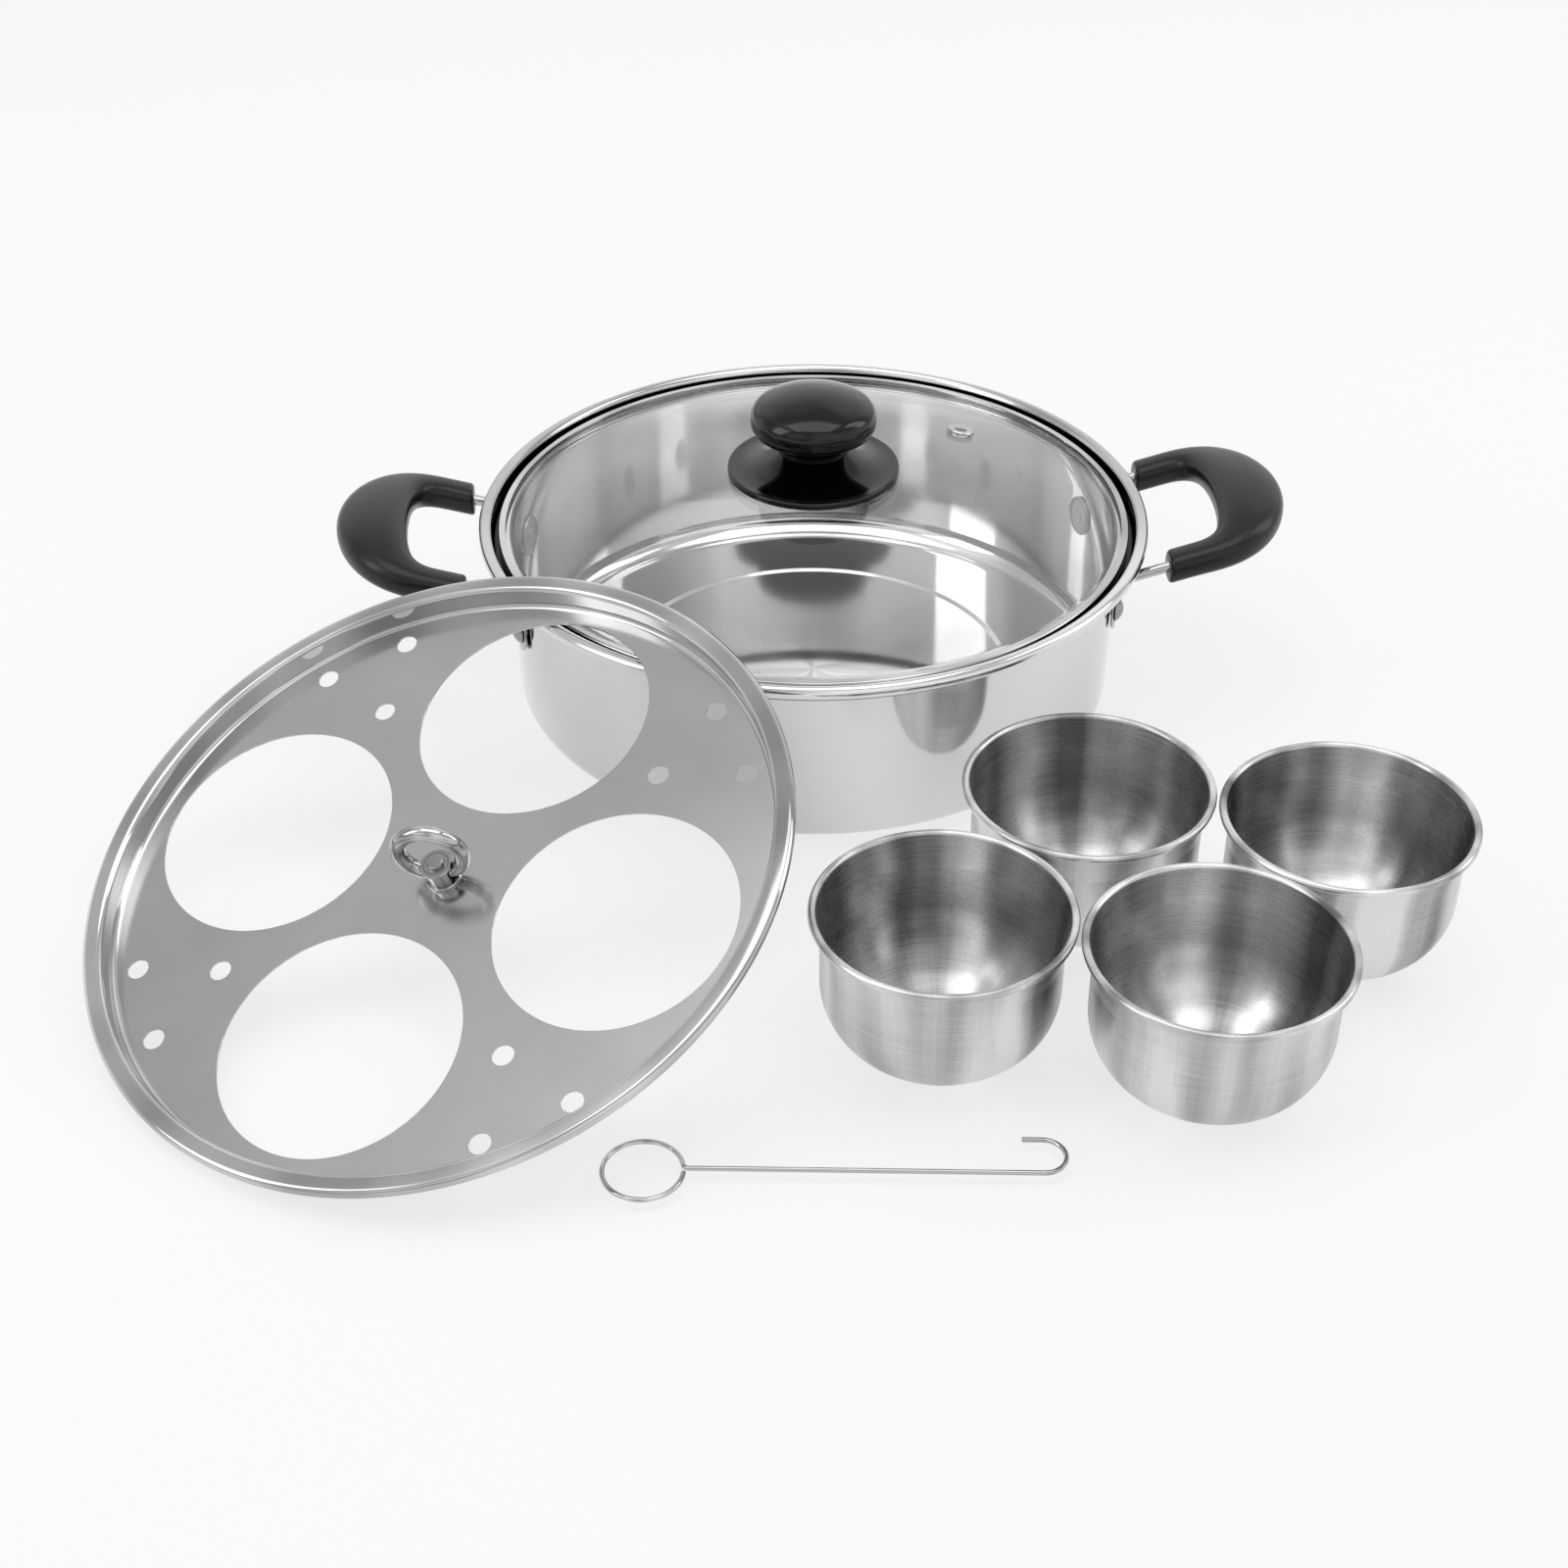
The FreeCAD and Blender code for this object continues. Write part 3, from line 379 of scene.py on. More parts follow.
# Compression-moulded phenolic: deep black with a faint orange-peel skin from the mould.
def mouldedBakelite(name, colour, worn, roughness, coat, grainDepthMm):
    look = {"peel": 900.0, "cloud": 60.0, "spread": 0.15, "peelShare": 0.4, "coatRough": 0.06, "gloss": 0.35}
    material, tree = newMaterial(name)
    place = addNode(tree, "ShaderNodeTexCoord").outputs["Object"]
    peel = noiseAt(tree, place, look["peel"], 2.0)
    cloud = noiseAt(tree, place, look["cloud"], 4.0)
    low, high = roughness * (1 - look["spread"]), roughness * (1 + look["spread"])
    settings = {"Coat Weight": coat, "Coat Roughness": look["coatRough"], "Specular IOR Level": look["gloss"]}
    shader = addNode(tree, "ShaderNodeBsdfPrincipled", settings,
                     {"Base Color": colourBetween(tree, cloud, colour, worn),
                      "Roughness": stretched(tree, cloud, 0.0, 1.0, low, high),
                      "Normal": bumpFrom(tree, peel, look["peelShare"], grainDepthMm)})
    closeMaterial(tree, shader.outputs["BSDF"])
    return material


# Each buffed steel's two colours are the ends of its painted reflection fans; the bar steel's darker pair
# paints the darker reflections on the ring's bar.
steel = polishedSteel("buffed stainless steel", "#a9a9aa", "#d2d2d3", 2.4)
potSteel = polishedSteel("buffed drawn stainless steel", "#bababb", "#e0e0e1", 1.1)
barSteel = polishedSteel("buffed stainless steel bar", "#8c8c8d", "#c0c0c1", 1.2)
headed = satinSteel("cold-headed stainless steel", "#8a8a8b", "#a8a8a9", 0.24, 0.34)
satin = satinSteel("rolled stainless steel", "#b2b2b3", "#c6c6c7", 0.2, 0.3)
pressed = satinSteel("pressed stainless steel sheet", "#b6b6b7", "#c8c8c9", 0.14, 0.22)
spun = spunSteel()
glass = temperedGlass()
gripBlack = mouldedBakelite("satin bakelite", "#0c0c0d", "#121213", 0.3, 0.05, 0.012)
knobBlack = mouldedBakelite("gloss bakelite", "#030304", "#050506", 0.09, 0.1, 0.002)
print("materials made")


pot = {"sheet": 0.7, "rim": 125.0, "height": 73.0, "roll": 2.1, "head": 114.5, "foot": 113.3, "corner": 8.0,
       "pad": 76.0, "padDepth": 0.8, "padBend": 1.0, "ledgeDepth": 7.2, "ledgeBend": 1.6, "around": 320}
ledgeZ = pot["height"] - pot["ledgeDepth"]
mouthMid = pot["rim"] - pot["sheet"] / 2 - 2 * pot["roll"]
mouth = mouthMid - pot["sheet"] / 2


# Outer radius of the tapered wall at a height.
def wallRadius(z):
    low = pot["padDepth"] + pot["corner"]
    return pot["foot"] + (pot["head"] - pot["foot"]) * (z - low) / (ledgeZ - low)


def makePot():
    half = pot["sheet"] / 2
    corners = [
        (0, half, 0),
        (pot["pad"] - pot["padDepth"], half, pot["padBend"]),
        (pot["pad"] + pot["padDepth"], pot["padDepth"] + half, pot["padBend"]),
        (pot["foot"] - half, pot["padDepth"] + half, pot["corner"] - half),
        (pot["head"] - half, ledgeZ - half, pot["ledgeBend"]),
        (mouthMid, ledgeZ - half, pot["ledgeBend"]),
    ] + rolledBead(mouthMid, pot["height"] - half, pot["roll"])
    loop = sheetLoop(corners, pot["sheet"], 14)
    piece = makePiece("potBody", [(turnedGrid(loop, pot["around"]), True, True)], potSteel)
    dress(piece, "set", "bright_steel", "pot_body")


makePot()
print("pot made")


handle = {"azimuth": 3.6, "rod": 2.0, "leg": 34.8, "start": 128.6, "bowStart": 138.5, "bowDepth": 25.5,
          "bowPower": 0.75, "height": 62.3, "tilt": 16.0, "legWidth": 6.4, "legThick": 5.6, "bowWidth": 13.1,
          "bowThick": 7.6, "swell": 1.5, "power": 0.8, "bend": 4.5, "inside": 6.0, "capLength": 1.4,
          "capShare": 0.82, "legGap": 0.6, "paddleHalf": 4.8, "paddleThick": 0.9, "paddleDrop": 8.0,
          "paddleRise": 4.75, "footRise": 8.35, "paddlePlay": 0.2}
rivet = {"z": 45.0, "shank": 2.5, "head": 4.7, "rise": 2.5, "pad": 7.5, "padThick": 1.0, "padEdge": 0.5,
         "stub": 2.7, "stubRise": 0.25}
wallSlope = (pot["head"] - pot["foot"]) / (ledgeZ - pot["corner"])
paddleSeat = pot["head"] - wallSlope * (ledgeZ - rivet["z"]) + handle["paddlePlay"]
rodAzimuth = math.degrees(math.asin(handle["leg"] / (paddleSeat + handle["rod"])))


def gripRise(x):
    return handle["height"] + (x - handle["start"]) * math.tan(math.radians(handle["tilt"]))


# Grip: a bow x = x0 + depth cos^p, y = leg sin, with straight legs, carried by a superellipse.
def gripGrid():
    swing = np.radians(np.linspace(-90, 90, 73)[1:-1])
    lean = np.cos(swing)
    bowX = handle["bowStart"] + handle["bowDepth"] * lean ** handle["bowPower"]
    bowY = handle["leg"] * np.sin(swing)
    bowW = handle["legWidth"] + (handle["bowWidth"] - handle["legWidth"]) * lean ** handle["swell"]
    bowH = handle["legThick"] + (handle["bowThick"] - handle["legThick"]) * lean ** handle["swell"]
    steps = 1 - np.cos(np.linspace(0, np.pi / 2, 8))
    capX = handle["start"] + handle["capLength"] * steps
    capScale = np.sqrt(1 - (1 - steps) ** 2) * (1 - handle["capShare"]) + handle["capShare"]
    legX = np.concatenate([capX, np.linspace(capX[-1], handle["bowStart"] - handle["legGap"], 8)[1:]])
    legScale = np.concatenate([capScale, np.ones(7)])
    x = np.concatenate([legX, bowX, legX[::-1]])
    y = np.concatenate([0 * legX - handle["leg"], bowY, 0 * legX + handle["leg"]])
    w = np.concatenate([legScale * handle["legWidth"], bowW, legScale[::-1] * handle["legWidth"]])
    h = np.concatenate([legScale * handle["legThick"], bowH, legScale[::-1] * handle["legThick"]])
    centres = np.stack([x, y, gripRise(x)], axis=1)
    ahead = np.gradient(centres[:, :2], axis=0)
    ahead /= np.linalg.norm(ahead, axis=1)[:, None]
    side = np.stack([ahead[:, 1], -ahead[:, 0], 0 * x], axis=1)
    up = np.zeros_like(centres)
    up[:, 2] = 1.0
    grid = sweptGrid(centres, side, up, w, h, handle["power"], 56)
    return roundedEnds(grid, centres)


# One end of the rod above its paddle: the rise, the bend and the leg that goes into the grip.
def rodHalf():
    rodX = math.sqrt((paddleSeat + handle["rod"]) ** 2 - handle["leg"] ** 2)
    bendZ = gripRise(rodX)
    endX = handle["start"] + handle["inside"]
    corners = [(rodX, rivet["z"] + handle["footRise"], 0), (rodX, bendZ, handle["bend"]),
               (endX, gripRise(endX), 0)]
    rise = bentLine(corners, 0.0, 16)
    out = np.stack([rise[:, 0], 0 * rise[:, 0] - handle["leg"], rise[:, 1]], axis=1)
    ahead = np.gradient(rise, axis=0)
    ahead /= np.linalg.norm(ahead, axis=1)[:, None]
    up = np.stack([-ahead[:, 1], 0 * ahead[:, 0], ahead[:, 0]], axis=1)
    side = np.zeros_like(out)
    side[:, 1] = 1.0
    return out, side, up


# Stations of the flattened end, from its round tip up to the round rod, in the wall's own frame.
def paddleStations():
    low, high = -handle["paddleDrop"], handle["footRise"]
    tip = low + handle["paddleHalf"] * (1 - np.cos(np.linspace(0, np.pi / 2, 12)))
    flatTop = handle["paddleRise"]
    blend = np.linspace(flatTop, high, 12)
    z = np.concatenate([tip, [(tip[-1] + flatTop) / 2], blend])
    lift = np.clip((high - z) / (high - flatTop), 0, 1)
    ease = lift * lift * (3 - 2 * lift)
    width = handle["rod"] + (handle["paddleHalf"] - handle["rod"]) * ease
    tipShare = np.clip((z - low) / handle["paddleHalf"], 0, 1)
    width = width * np.sqrt(1 - (1 - tipShare) ** 2 + 1e-4)
    thick = handle["rod"] + (handle["paddleThick"] - handle["rod"]) * ease
    return z, width, thick


# Both visible ends of the rod, each from its paddle to well inside the grip.
def rodGrids():
    grids = []
    for mirror in (1, -1):
        out, side, up = rodHalf()
        z, width, thick = paddleStations()
        turn = turnAbout("Z", -rodAzimuth)
        local = np.stack([paddleSeat + thick, 0 * z, rivet["z"] + z], axis=1)
        centres = local @ turn.T
        across = np.repeat((turn @ np.array([0.0, 1.0, 0.0]))[None], len(z), axis=0)
        outward = np.repeat((turn @ np.array([-1.0, 0.0, 0.0]))[None], len(z), axis=0)
        centres = np.concatenate([centres, out[1:]])
        across = np.concatenate([across, side[1:]])
        outward = np.concatenate([outward, up[1:]])
        w = np.concatenate([width, np.full(len(out) - 1, handle["rod"])])
        h = np.concatenate([thick, np.full(len(out) - 1, handle["rod"])])
        grid = roundedEnds(sweptGrid(centres, across, outward, w, h, 1.0, 40), centres)
        grids.append((grid * np.array([1, mirror, 1]), False, True))
    return grids


# Rivet turned about its own axis: wide pad inside the pot, domed head outside.
def rivetGrid():
    r = rivet
    padFace = math.sqrt((wallRadius(r["z"]) - pot["sheet"] - touch) ** 2 - r["pad"] ** 2)
    headFace = paddleSeat + 2 * handle["paddleThick"] + touch
    dome = (r["head"] ** 2 + r["rise"] ** 2) / (2 * r["rise"])
    swing = np.linspace(math.asin(r["head"] / dome), 0, 12)
    cap = np.stack([dome * np.sin(swing), headFace + r["rise"] - dome * (1 - np.cos(swing))], axis=1)
    back = padFace - r["padThick"]
    stubTop = back - r["stubRise"]
    body = np.array([
        (0, stubTop), (r["stub"] - 0.3, stubTop), (r["stub"], stubTop + 0.2), (r["stub"] + 0.1, back + 0.15),
        (r["pad"] - 1.2, back), (r["pad"] - 0.4, back + 0.15), (r["pad"], back + r["padEdge"]),
        (r["pad"], padFace), (r["shank"], padFace), (r["shank"], headFace), (r["head"] - 0.2, headFace),
    ])
    return turnedGrid(np.concatenate([body, cap]), 48)


def makeHandles():
    grip = gripGrid()
    rods = rodGrids()
    stud = rivetGrid()
    lying = turnAbout("Y", 90)
    for side, spin in (("right", handle["azimuth"]), ("left", handle["azimuth"] + 180)):
        turn = turnAbout("Z", spin)
        piece = makePiece("grip" + side.title(), [(grip, False, True)], gripBlack, (turn, np.zeros(3)), 50)
        dress(piece, "set", "grip_bakelite", "handle_grip_" + side)
        piece = makePiece("rod" + side.title(), rods, steel, (turn, np.zeros(3)), 50)
        dress(piece, "set", "bright_steel", "handle_wire_" + side)
        front = -rodAzimuth if side == "right" else rodAzimuth
        for place, azimuth in (("front", spin + front), ("back", spin - front)):
            move = (turnAbout("Z", azimuth) @ lying, np.array([0, 0, rivet["z"]]))
            name = "rivet" + side.title() + place.title()
            piece = makePiece(name, [(stud, True, False)], headed, move, 30)
            dress(piece, "set", "bright_steel", "rivet_" + side + "_" + place)


makeHandles()
print("handles made")


lid = {"play": 2.4, "rimSheet": 0.5, "rimHeight": 5.0, "rimBend": 0.6, "topLip": 2.6, "bottomLip": 4.2,
       "glass": 3.8, "dome": 323.0, "edgeBend": 5.0, "land": 4.4, "landEase": 2.0, "edgePlay": 0.15,
       "ventCircle": 71.7, "ventAzimuth": 37.0, "ventHole": 3.5, "flange": 5.3, "tail": 4.6, "bore": 2.05,
       "tube": 1.1, "flangeThick": 0.8, "knobHole": 3.0, "drillDepth": 40.0}
lidRadius = mouth - lid["play"]
edgeZ = ledgeZ + touch + lid["rimHeight"] / 2
landRadius = lidRadius - lid["rimSheet"] - lid["land"]
lidSlope = math.asin((landRadius - lid["landEase"]) / lid["dome"])
domeRun = lid["dome"] * math.tan(lidSlope / 2)
apexZ = edgeZ + (landRadius - domeRun) * math.tan(lidSlope)
domeCentre = apexZ - lid["dome"]
ventLean = math.degrees(math.asin(lid["ventCircle"] / lid["dome"]))
ventTurn = turnAbout("Z", lid["ventAzimuth"]) @ turnAbout("Y", ventLean)


def glassTop(radius):
    return domeCentre + math.sqrt((lid["dome"] + lid["glass"] / 2) ** 2 - radius ** 2)


def makeLid():
    corners = [(lid["knobHole"], apexZ, 0), (domeRun, apexZ, lid["dome"]),
               (landRadius, edgeZ, lid["edgeBend"]),
               (lidRadius - lid["rimSheet"] - lid["edgePlay"], edgeZ, 0)]
    grid = turnedGrid(sheetLoop(corners, lid["glass"], 90), 288)
    piece = makePiece("lidGlass", [(grid, True, True)], glass)
    piece.data = drilled(piece, ventTurn, domeCentre)
    dress(piece, "set", "lid_glass", "lid_glass")

    half = lid["rimSheet"] / 2
    outer = lidRadius - half
    top, low = edgeZ + lid["rimHeight"] / 2 - half, edgeZ - lid["rimHeight"] / 2 + half
    corners = [(lidRadius - lid["topLip"], top, 0), (outer, top, lid["rimBend"]),
               (outer, low, lid["rimBend"]), (lidRadius - lid["bottomLip"], low, 0)]
    grid = turnedGrid(sheetLoop(corners, lid["rimSheet"], 8), 360)
    piece = makePiece("lidRim", [(grid, True, True)], steel)
    dress(piece, "set", "satin_steel", "lid_rim")

    high = lid["dome"] + lid["glass"] / 2 + touch
    under = lid["dome"] - lid["glass"] / 2 - touch
    bore, tube, tail, flange = lid["bore"], lid["bore"] + lid["tube"], lid["tail"], lid["flange"]
    top, low = high + lid["flangeThick"], under - lid["flangeThick"]
    loop = np.array([
        (bore, low), (tail - 0.2, low), (tail, low + 0.2), (tail, under), (tube, under), (tube, high),
        (flange, high), (flange, top - 0.35), (flange - 0.35, top), (bore + 0.9, top),
        (bore + 0.25, top - 0.25), (bore, top - 0.9),
    ])
    move = (ventTurn, np.array([0, 0, domeCentre]))
    piece = makePiece("ventEyelet", [(turnedGrid(loop, 64), True, True)], satin, move, 30)
    dress(piece, "set", "bright_steel", "vent_eyelet")


# Cuts the vent's hole through the glass and returns the finished mesh.
def drilled(piece, turn, height):
    drill = bpy.data.meshes.new("ventDrill")
    work = bmesh.new()
    bmesh.ops.create_cone(work, cap_ends=True, segments=48, radius1=lid["ventHole"] * mm,
                          radius2=lid["ventHole"] * mm, depth=lid["drillDepth"] * mm)
    work.to_mesh(drill)
    work.free()
    cutter = bpy.data.objects.new("ventDrill", drill)
    place = Matrix(turn.tolist()).to_4x4()
    place.translation = np.array([0, 0, height * mm]) + turn @ np.array([0, 0, lid["dome"] * mm])
    cutter.matrix_world = place
    bpy.context.scene.collection.objects.link(cutter)
    cut = piece.modifiers.new("vent", "BOOLEAN")
    cut.operation = "DIFFERENCE"
    cut.solver = "EXACT"
    cut.object = cutter
    bpy.context.view_layer.update()
    mesh = bpy.data.meshes.new_from_object(piece.evaluated_get(bpy.context.evaluated_depsgraph_get()))
    piece.modifiers.clear()
    bpy.data.objects.remove(cutter)
    return mesh


makeLid()

knob = {"skirt": 31.8, "skirtEdge": 2.4, "skirtRound": 0.8, "skirtHeight": 9.0, "sag": 2.2, "collar": 13.3,
        "collarHeight": 2.2, "neck": 10.0, "neckHeight": 4.2, "head": 23.1, "rise": 10.2, "drop": 6.2,
        "edgeRound": 6.0, "underRound": 4.5, "screwHole": 2.1}


def makeKnob():
    k = knob
    seat = glassTop(k["skirt"]) + touch
    shoulder = seat + k["skirtHeight"]
    top = shoulder + k["collarHeight"]
    brim = seat + k["skirtEdge"]
    start, end = np.array([k["skirt"] - k["skirtRound"], brim]), np.array([k["collar"], shoulder])
    middle = (start + end) / 2 - np.array([0, k["sag"]])
    t = np.linspace(0, 1, 20)[:, None]
    pull = 2 * middle - (start + end) / 2
    flare = (1 - t) ** 2 * start + 2 * t * (1 - t) * pull + t ** 2 * end
    bead = np.linspace(0, np.pi / 2, 7)[:-1]
    brimArc = np.stack([start[0] + k["skirtRound"] * np.cos(bead),
                        brim - k["skirtRound"] + k["skirtRound"] * np.sin(bead)], axis=1)
    under = np.linspace(k["screwHole"], k["skirt"] - 0.2, 24)
    dome = lid["dome"] + lid["glass"] / 2 + touch
    floor = np.stack([under, domeCentre + np.sqrt(dome ** 2 - under ** 2)], axis=1)
    loop = np.concatenate([floor, [(k["skirt"], seat + 0.2)], brimArc, flare,
                           [(k["collar"], top - 0.4), (k["collar"] - 0.4, top), (k["screwHole"], top)]])
    piece = makePiece("knobSkirt", [(turnedGrid(loop, 200), True, True)], knobBlack, None, 40)
    dress(piece, "set", "knob_bakelite", "knob_base")

    foot = top + touch
    wide = foot + k["neckHeight"] + k["drop"]
    low, high = wide - k["drop"], wide + k["rise"]
    edge, shelf = k["edgeRound"], k["underRound"]
    crown = ((k["head"] - edge) ** 2 + k["rise"] ** 2 - edge ** 2) / (2 * (k["rise"] - edge))
    slope = math.asin((k["head"] - edge) / (crown - edge))
    a = np.linspace(-np.pi / 2, 0, 14)
    lip = np.stack([k["head"] - shelf + shelf * np.cos(a), low + shelf + shelf * np.sin(a)], axis=1)
    b = np.linspace(np.pi / 2, slope, 16)
    side = np.stack([k["head"] - edge + edge * np.sin(b), wide + edge * np.cos(b)], axis=1)
    c = np.linspace(slope, 0, 24)[1:]
    cap = np.stack([crown * np.sin(c), high - crown * (1 - np.cos(c))], axis=1)
    neck = k["neck"]
    stem = [(0, foot), (neck - 0.4, foot), (neck, foot + 0.4), (neck, low - 1.0), (neck + 0.3, low - 0.3),
            (neck + 1.0, low)]
    loop = np.concatenate([stem, lip, side, cap])
    piece = makePiece("knobHead", [(turnedGrid(loop, 200), True, False)], knobBlack, None, 40)
    dress(piece, "set", "knob_bakelite", "lid_knob")


makeKnob()
print("lid made")


tray = {"sheet": 0.6, "depth": 9.0, "corner": 2.0, "roll": 1.7, "play": 0.6, "dropPlay": 0.6, "hole": 40.299,
        "holeCircle": 65.901, "steam": 3.6, "steamOuter": 103.9, "steamInner": 76.9, "steamHalf": 8.25,
        "spin": 63.2, "heading": 50.9, "sideways": -17.2, "lean": 0.4, "leanShare": 0.868, "stepStart": 2.0,
        "plateEdge": 1.9, "bevel": 0.08, "around": 360, "holeAround": 160, "steamAround": 40}
trayRadius = mouth - tray["play"]
plateRadius = pot["head"] - pot["sheet"] - tray["dropPlay"] - tray["sheet"] / 2


# The tray's bead is set at the table and its plate on the pot's rim, as in the solids.
def trayMove():
    heading = math.radians(tray["heading"])
    bead = tray["roll"] + tray["sheet"] / 2
    rimBead = pot["roll"] + pot["sheet"] / 2
    rimHeight = pot["height"] - rimBead
    offRim = rimBead + tray["lean"] + tray["sheet"] / 2
    along = trayRadius - bead + tray["leanShare"] * plateRadius
    above = tray["depth"] - tray["roll"] + offRim
    tilt = math.asin((rimHeight - bead) / math.hypot(along, above)) + math.atan2(above, along)
    lift = (trayRadius - bead) * math.sin(tilt) + bead - (tray["depth"] - tray["roll"]) * math.cos(tilt)
    reach = rimHeight + offRim / math.cos(tilt) - lift
    away = pot["rim"] - rimBead + reach / math.tan(tilt)
    uphill = np.array([math.cos(heading), math.sin(heading), 0])
    across = np.array([-math.sin(heading), math.cos(heading), 0])
    centre = uphill * -away + across * tray["sideways"] + np.array([0, 0, lift])
    hinge = (math.sin(heading), -math.cos(heading), 0)
    return np.array(Matrix.Rotation(tilt, 3, hinge)), centre


trayTurn, trayCentre = trayMove()


# Flat plate with round holes: flat faces between the circles on both sides, and a bevelled wall along each
# circle, where inward is -1 for the rim and 1 for a hole.
def plateMesh(circles, thickness, bevel):
    half = thickness / 2
    rings, edges, count = [], [], 0
    for radius, centre, around, inward in circles:
        angles = np.linspace(0, 2 * np.pi, around, endpoint=False)
        spokes = np.stack([np.cos(angles), np.sin(angles)], axis=1)
        rings.append((radius, centre[:2], spokes, inward))
        numbers = np.arange(around)
        edges += (np.stack([numbers, (numbers + 1) % around], axis=1) + count).tolist()
        count += around
    flat = [centre + (radius + bevel * inward) * spokes for radius, centre, spokes, inward in rings]
    answer = geometry.delaunay_2d_cdt([Vector(v) for v in np.concatenate(flat).tolist()], edges, [], 0, 1e-6)
    corners = np.array([v[:] for v in answer[0]])
    triangles = np.array(answer[2])
    middle = corners[triangles].mean(axis=1)
    keep = np.ones(len(triangles), bool)
    for radius, centre, spokes, inward in rings:
        far = np.linalg.norm(middle - centre, axis=1)
        keep &= (far < radius) if inward < 0 else (far > radius)
    triangles = triangles[keep]
    top = np.column_stack([corners, np.full(len(corners), half)])
    under = np.column_stack([corners, np.full(len(corners), -half)])
    points, count = [top, under], 2 * len(top)
    faces = triangles.tolist() + (triangles[:, ::-1] + len(top)).tolist()
    for radius, centre, spokes, inward in rings:
        around = len(spokes)
        wide = centre + (radius + bevel * inward) * spokes
        tight = centre + radius * spokes
        levels = [(wide, half), (tight, half - bevel), (tight, bevel - half), (wide, -half)]
        points += [np.column_stack([circle, np.full(around, z)]) for circle, z in levels]
        i, j = (a.ravel() for a in np.meshgrid(np.arange(3), np.arange(around), indexing="ij"))
        here, beyond, nextJ = i * around, (i + 1) * around, (j + 1) % around
        quads = np.stack([here + j, beyond + j, beyond + nextJ, here + nextJ], axis=1) + count
        faces += (quads if inward < 0 else quads[:, ::-1]).tolist()
        count += 4 * around
    mesh = bpy.data.meshes.new("trayPlate")
    mesh.from_pydata((np.concatenate(points) @ trayTurn.T * mm + trayCentre * mm).tolist(), [], faces)
    return mesh


def makeTray():
    holes = []
    for quarter in range(4):
        turn = tray["spin"] + 90 * quarter
        holes.append((tray["hole"], polar(tray["holeCircle"], turn), tray["holeAround"], 1))
        holes.append((tray["steam"], polar(tray["steamInner"], turn + 45), tray["steamAround"], 1))
        for side in (-1, 1):
            centre = polar(tray["steamOuter"], turn + 45 + side * tray["steamHalf"])
            holes.append((tray["steam"], centre, tray["steamAround"], 1))
    rim = (plateRadius - tray["plateEdge"], np.zeros(3), tray["around"], -1)
    flat = plateMesh([rim] + holes, tray["sheet"], tray["bevel"])
    plate = finishPiece("trayPlate", flat, pressed, 30)
    plate.data.shade_flat()

    wall, edge, deep = plateRadius, trayRadius - tray["sheet"] / 2, tray["depth"]
    low = deep - 2 * tray["roll"]
    corners = [(wall - tray["stepStart"], 0, 0), (wall, 0, tray["corner"]),
               (wall, deep, tray["roll"] / 2 + tray["sheet"]), (edge, deep, tray["roll"]),
               (edge, low, tray["roll"]), (edge - tray["roll"], low, 0)]
    grid = turnedGrid(sheetLoop(corners, tray["sheet"], 12), tray["around"])
    rim = makePiece("eggTray", [(grid, True, True)], steel, (trayTurn, trayCentre))
    dress(rim, "set", "satin_steel", "egg_tray")
    dress(plate, "set", "satin_steel", "egg_tray")


makeTray()

post = {"x": 1.35, "y": -1.95, "heading": -8.0, "barrel": 4.9, "flat": 3.7, "top": 6.55, "foot": 6.1,
        "footThick": 0.8, "hinge": 3.7, "bore": 1.45, "cap": 5.65, "capLow": 6.6, "capTop": 7.4,
        "capReach": 7.5, "shank": 1.4, "head": 3.0, "headLow": 7.45, "headThick": 1.3,
        "headRound": 0.65, "tail": 3.2, "tailTop": -0.75, "tailThick": 1.0}
ring = {"bar": 2.6, "radius": 10.4, "reach": 9.244, "elbow": 2.9, "start": 4.0, "pin": 1.3, "pinFrom": 1.7,
        "pinTo": 4.3, "angle": 89.0}
postTurn = trayTurn @ turnAbout("Z", post["heading"])
postMove = (postTurn, trayTurn @ np.array([post["x"], post["y"], tray["sheet"] / 2 + touch]) + trayCentre)


# Turned rows of (radius, z), each cut back to the width that the limit allows at its y and z.
def cutRows(rows, limit, around):
    angles = np.linspace(0, 2 * np.pi, around, endpoint=False)
    grid = []
    for radius, z in rows:
        y = radius * np.sin(angles)
        x = radius * np.cos(angles)
        kept = np.sign(x) * np.minimum(np.abs(x), limit(radius, y, z))
        grid.append(np.stack([kept, y, 0 * x + z], axis=1))
    return np.array(grid)


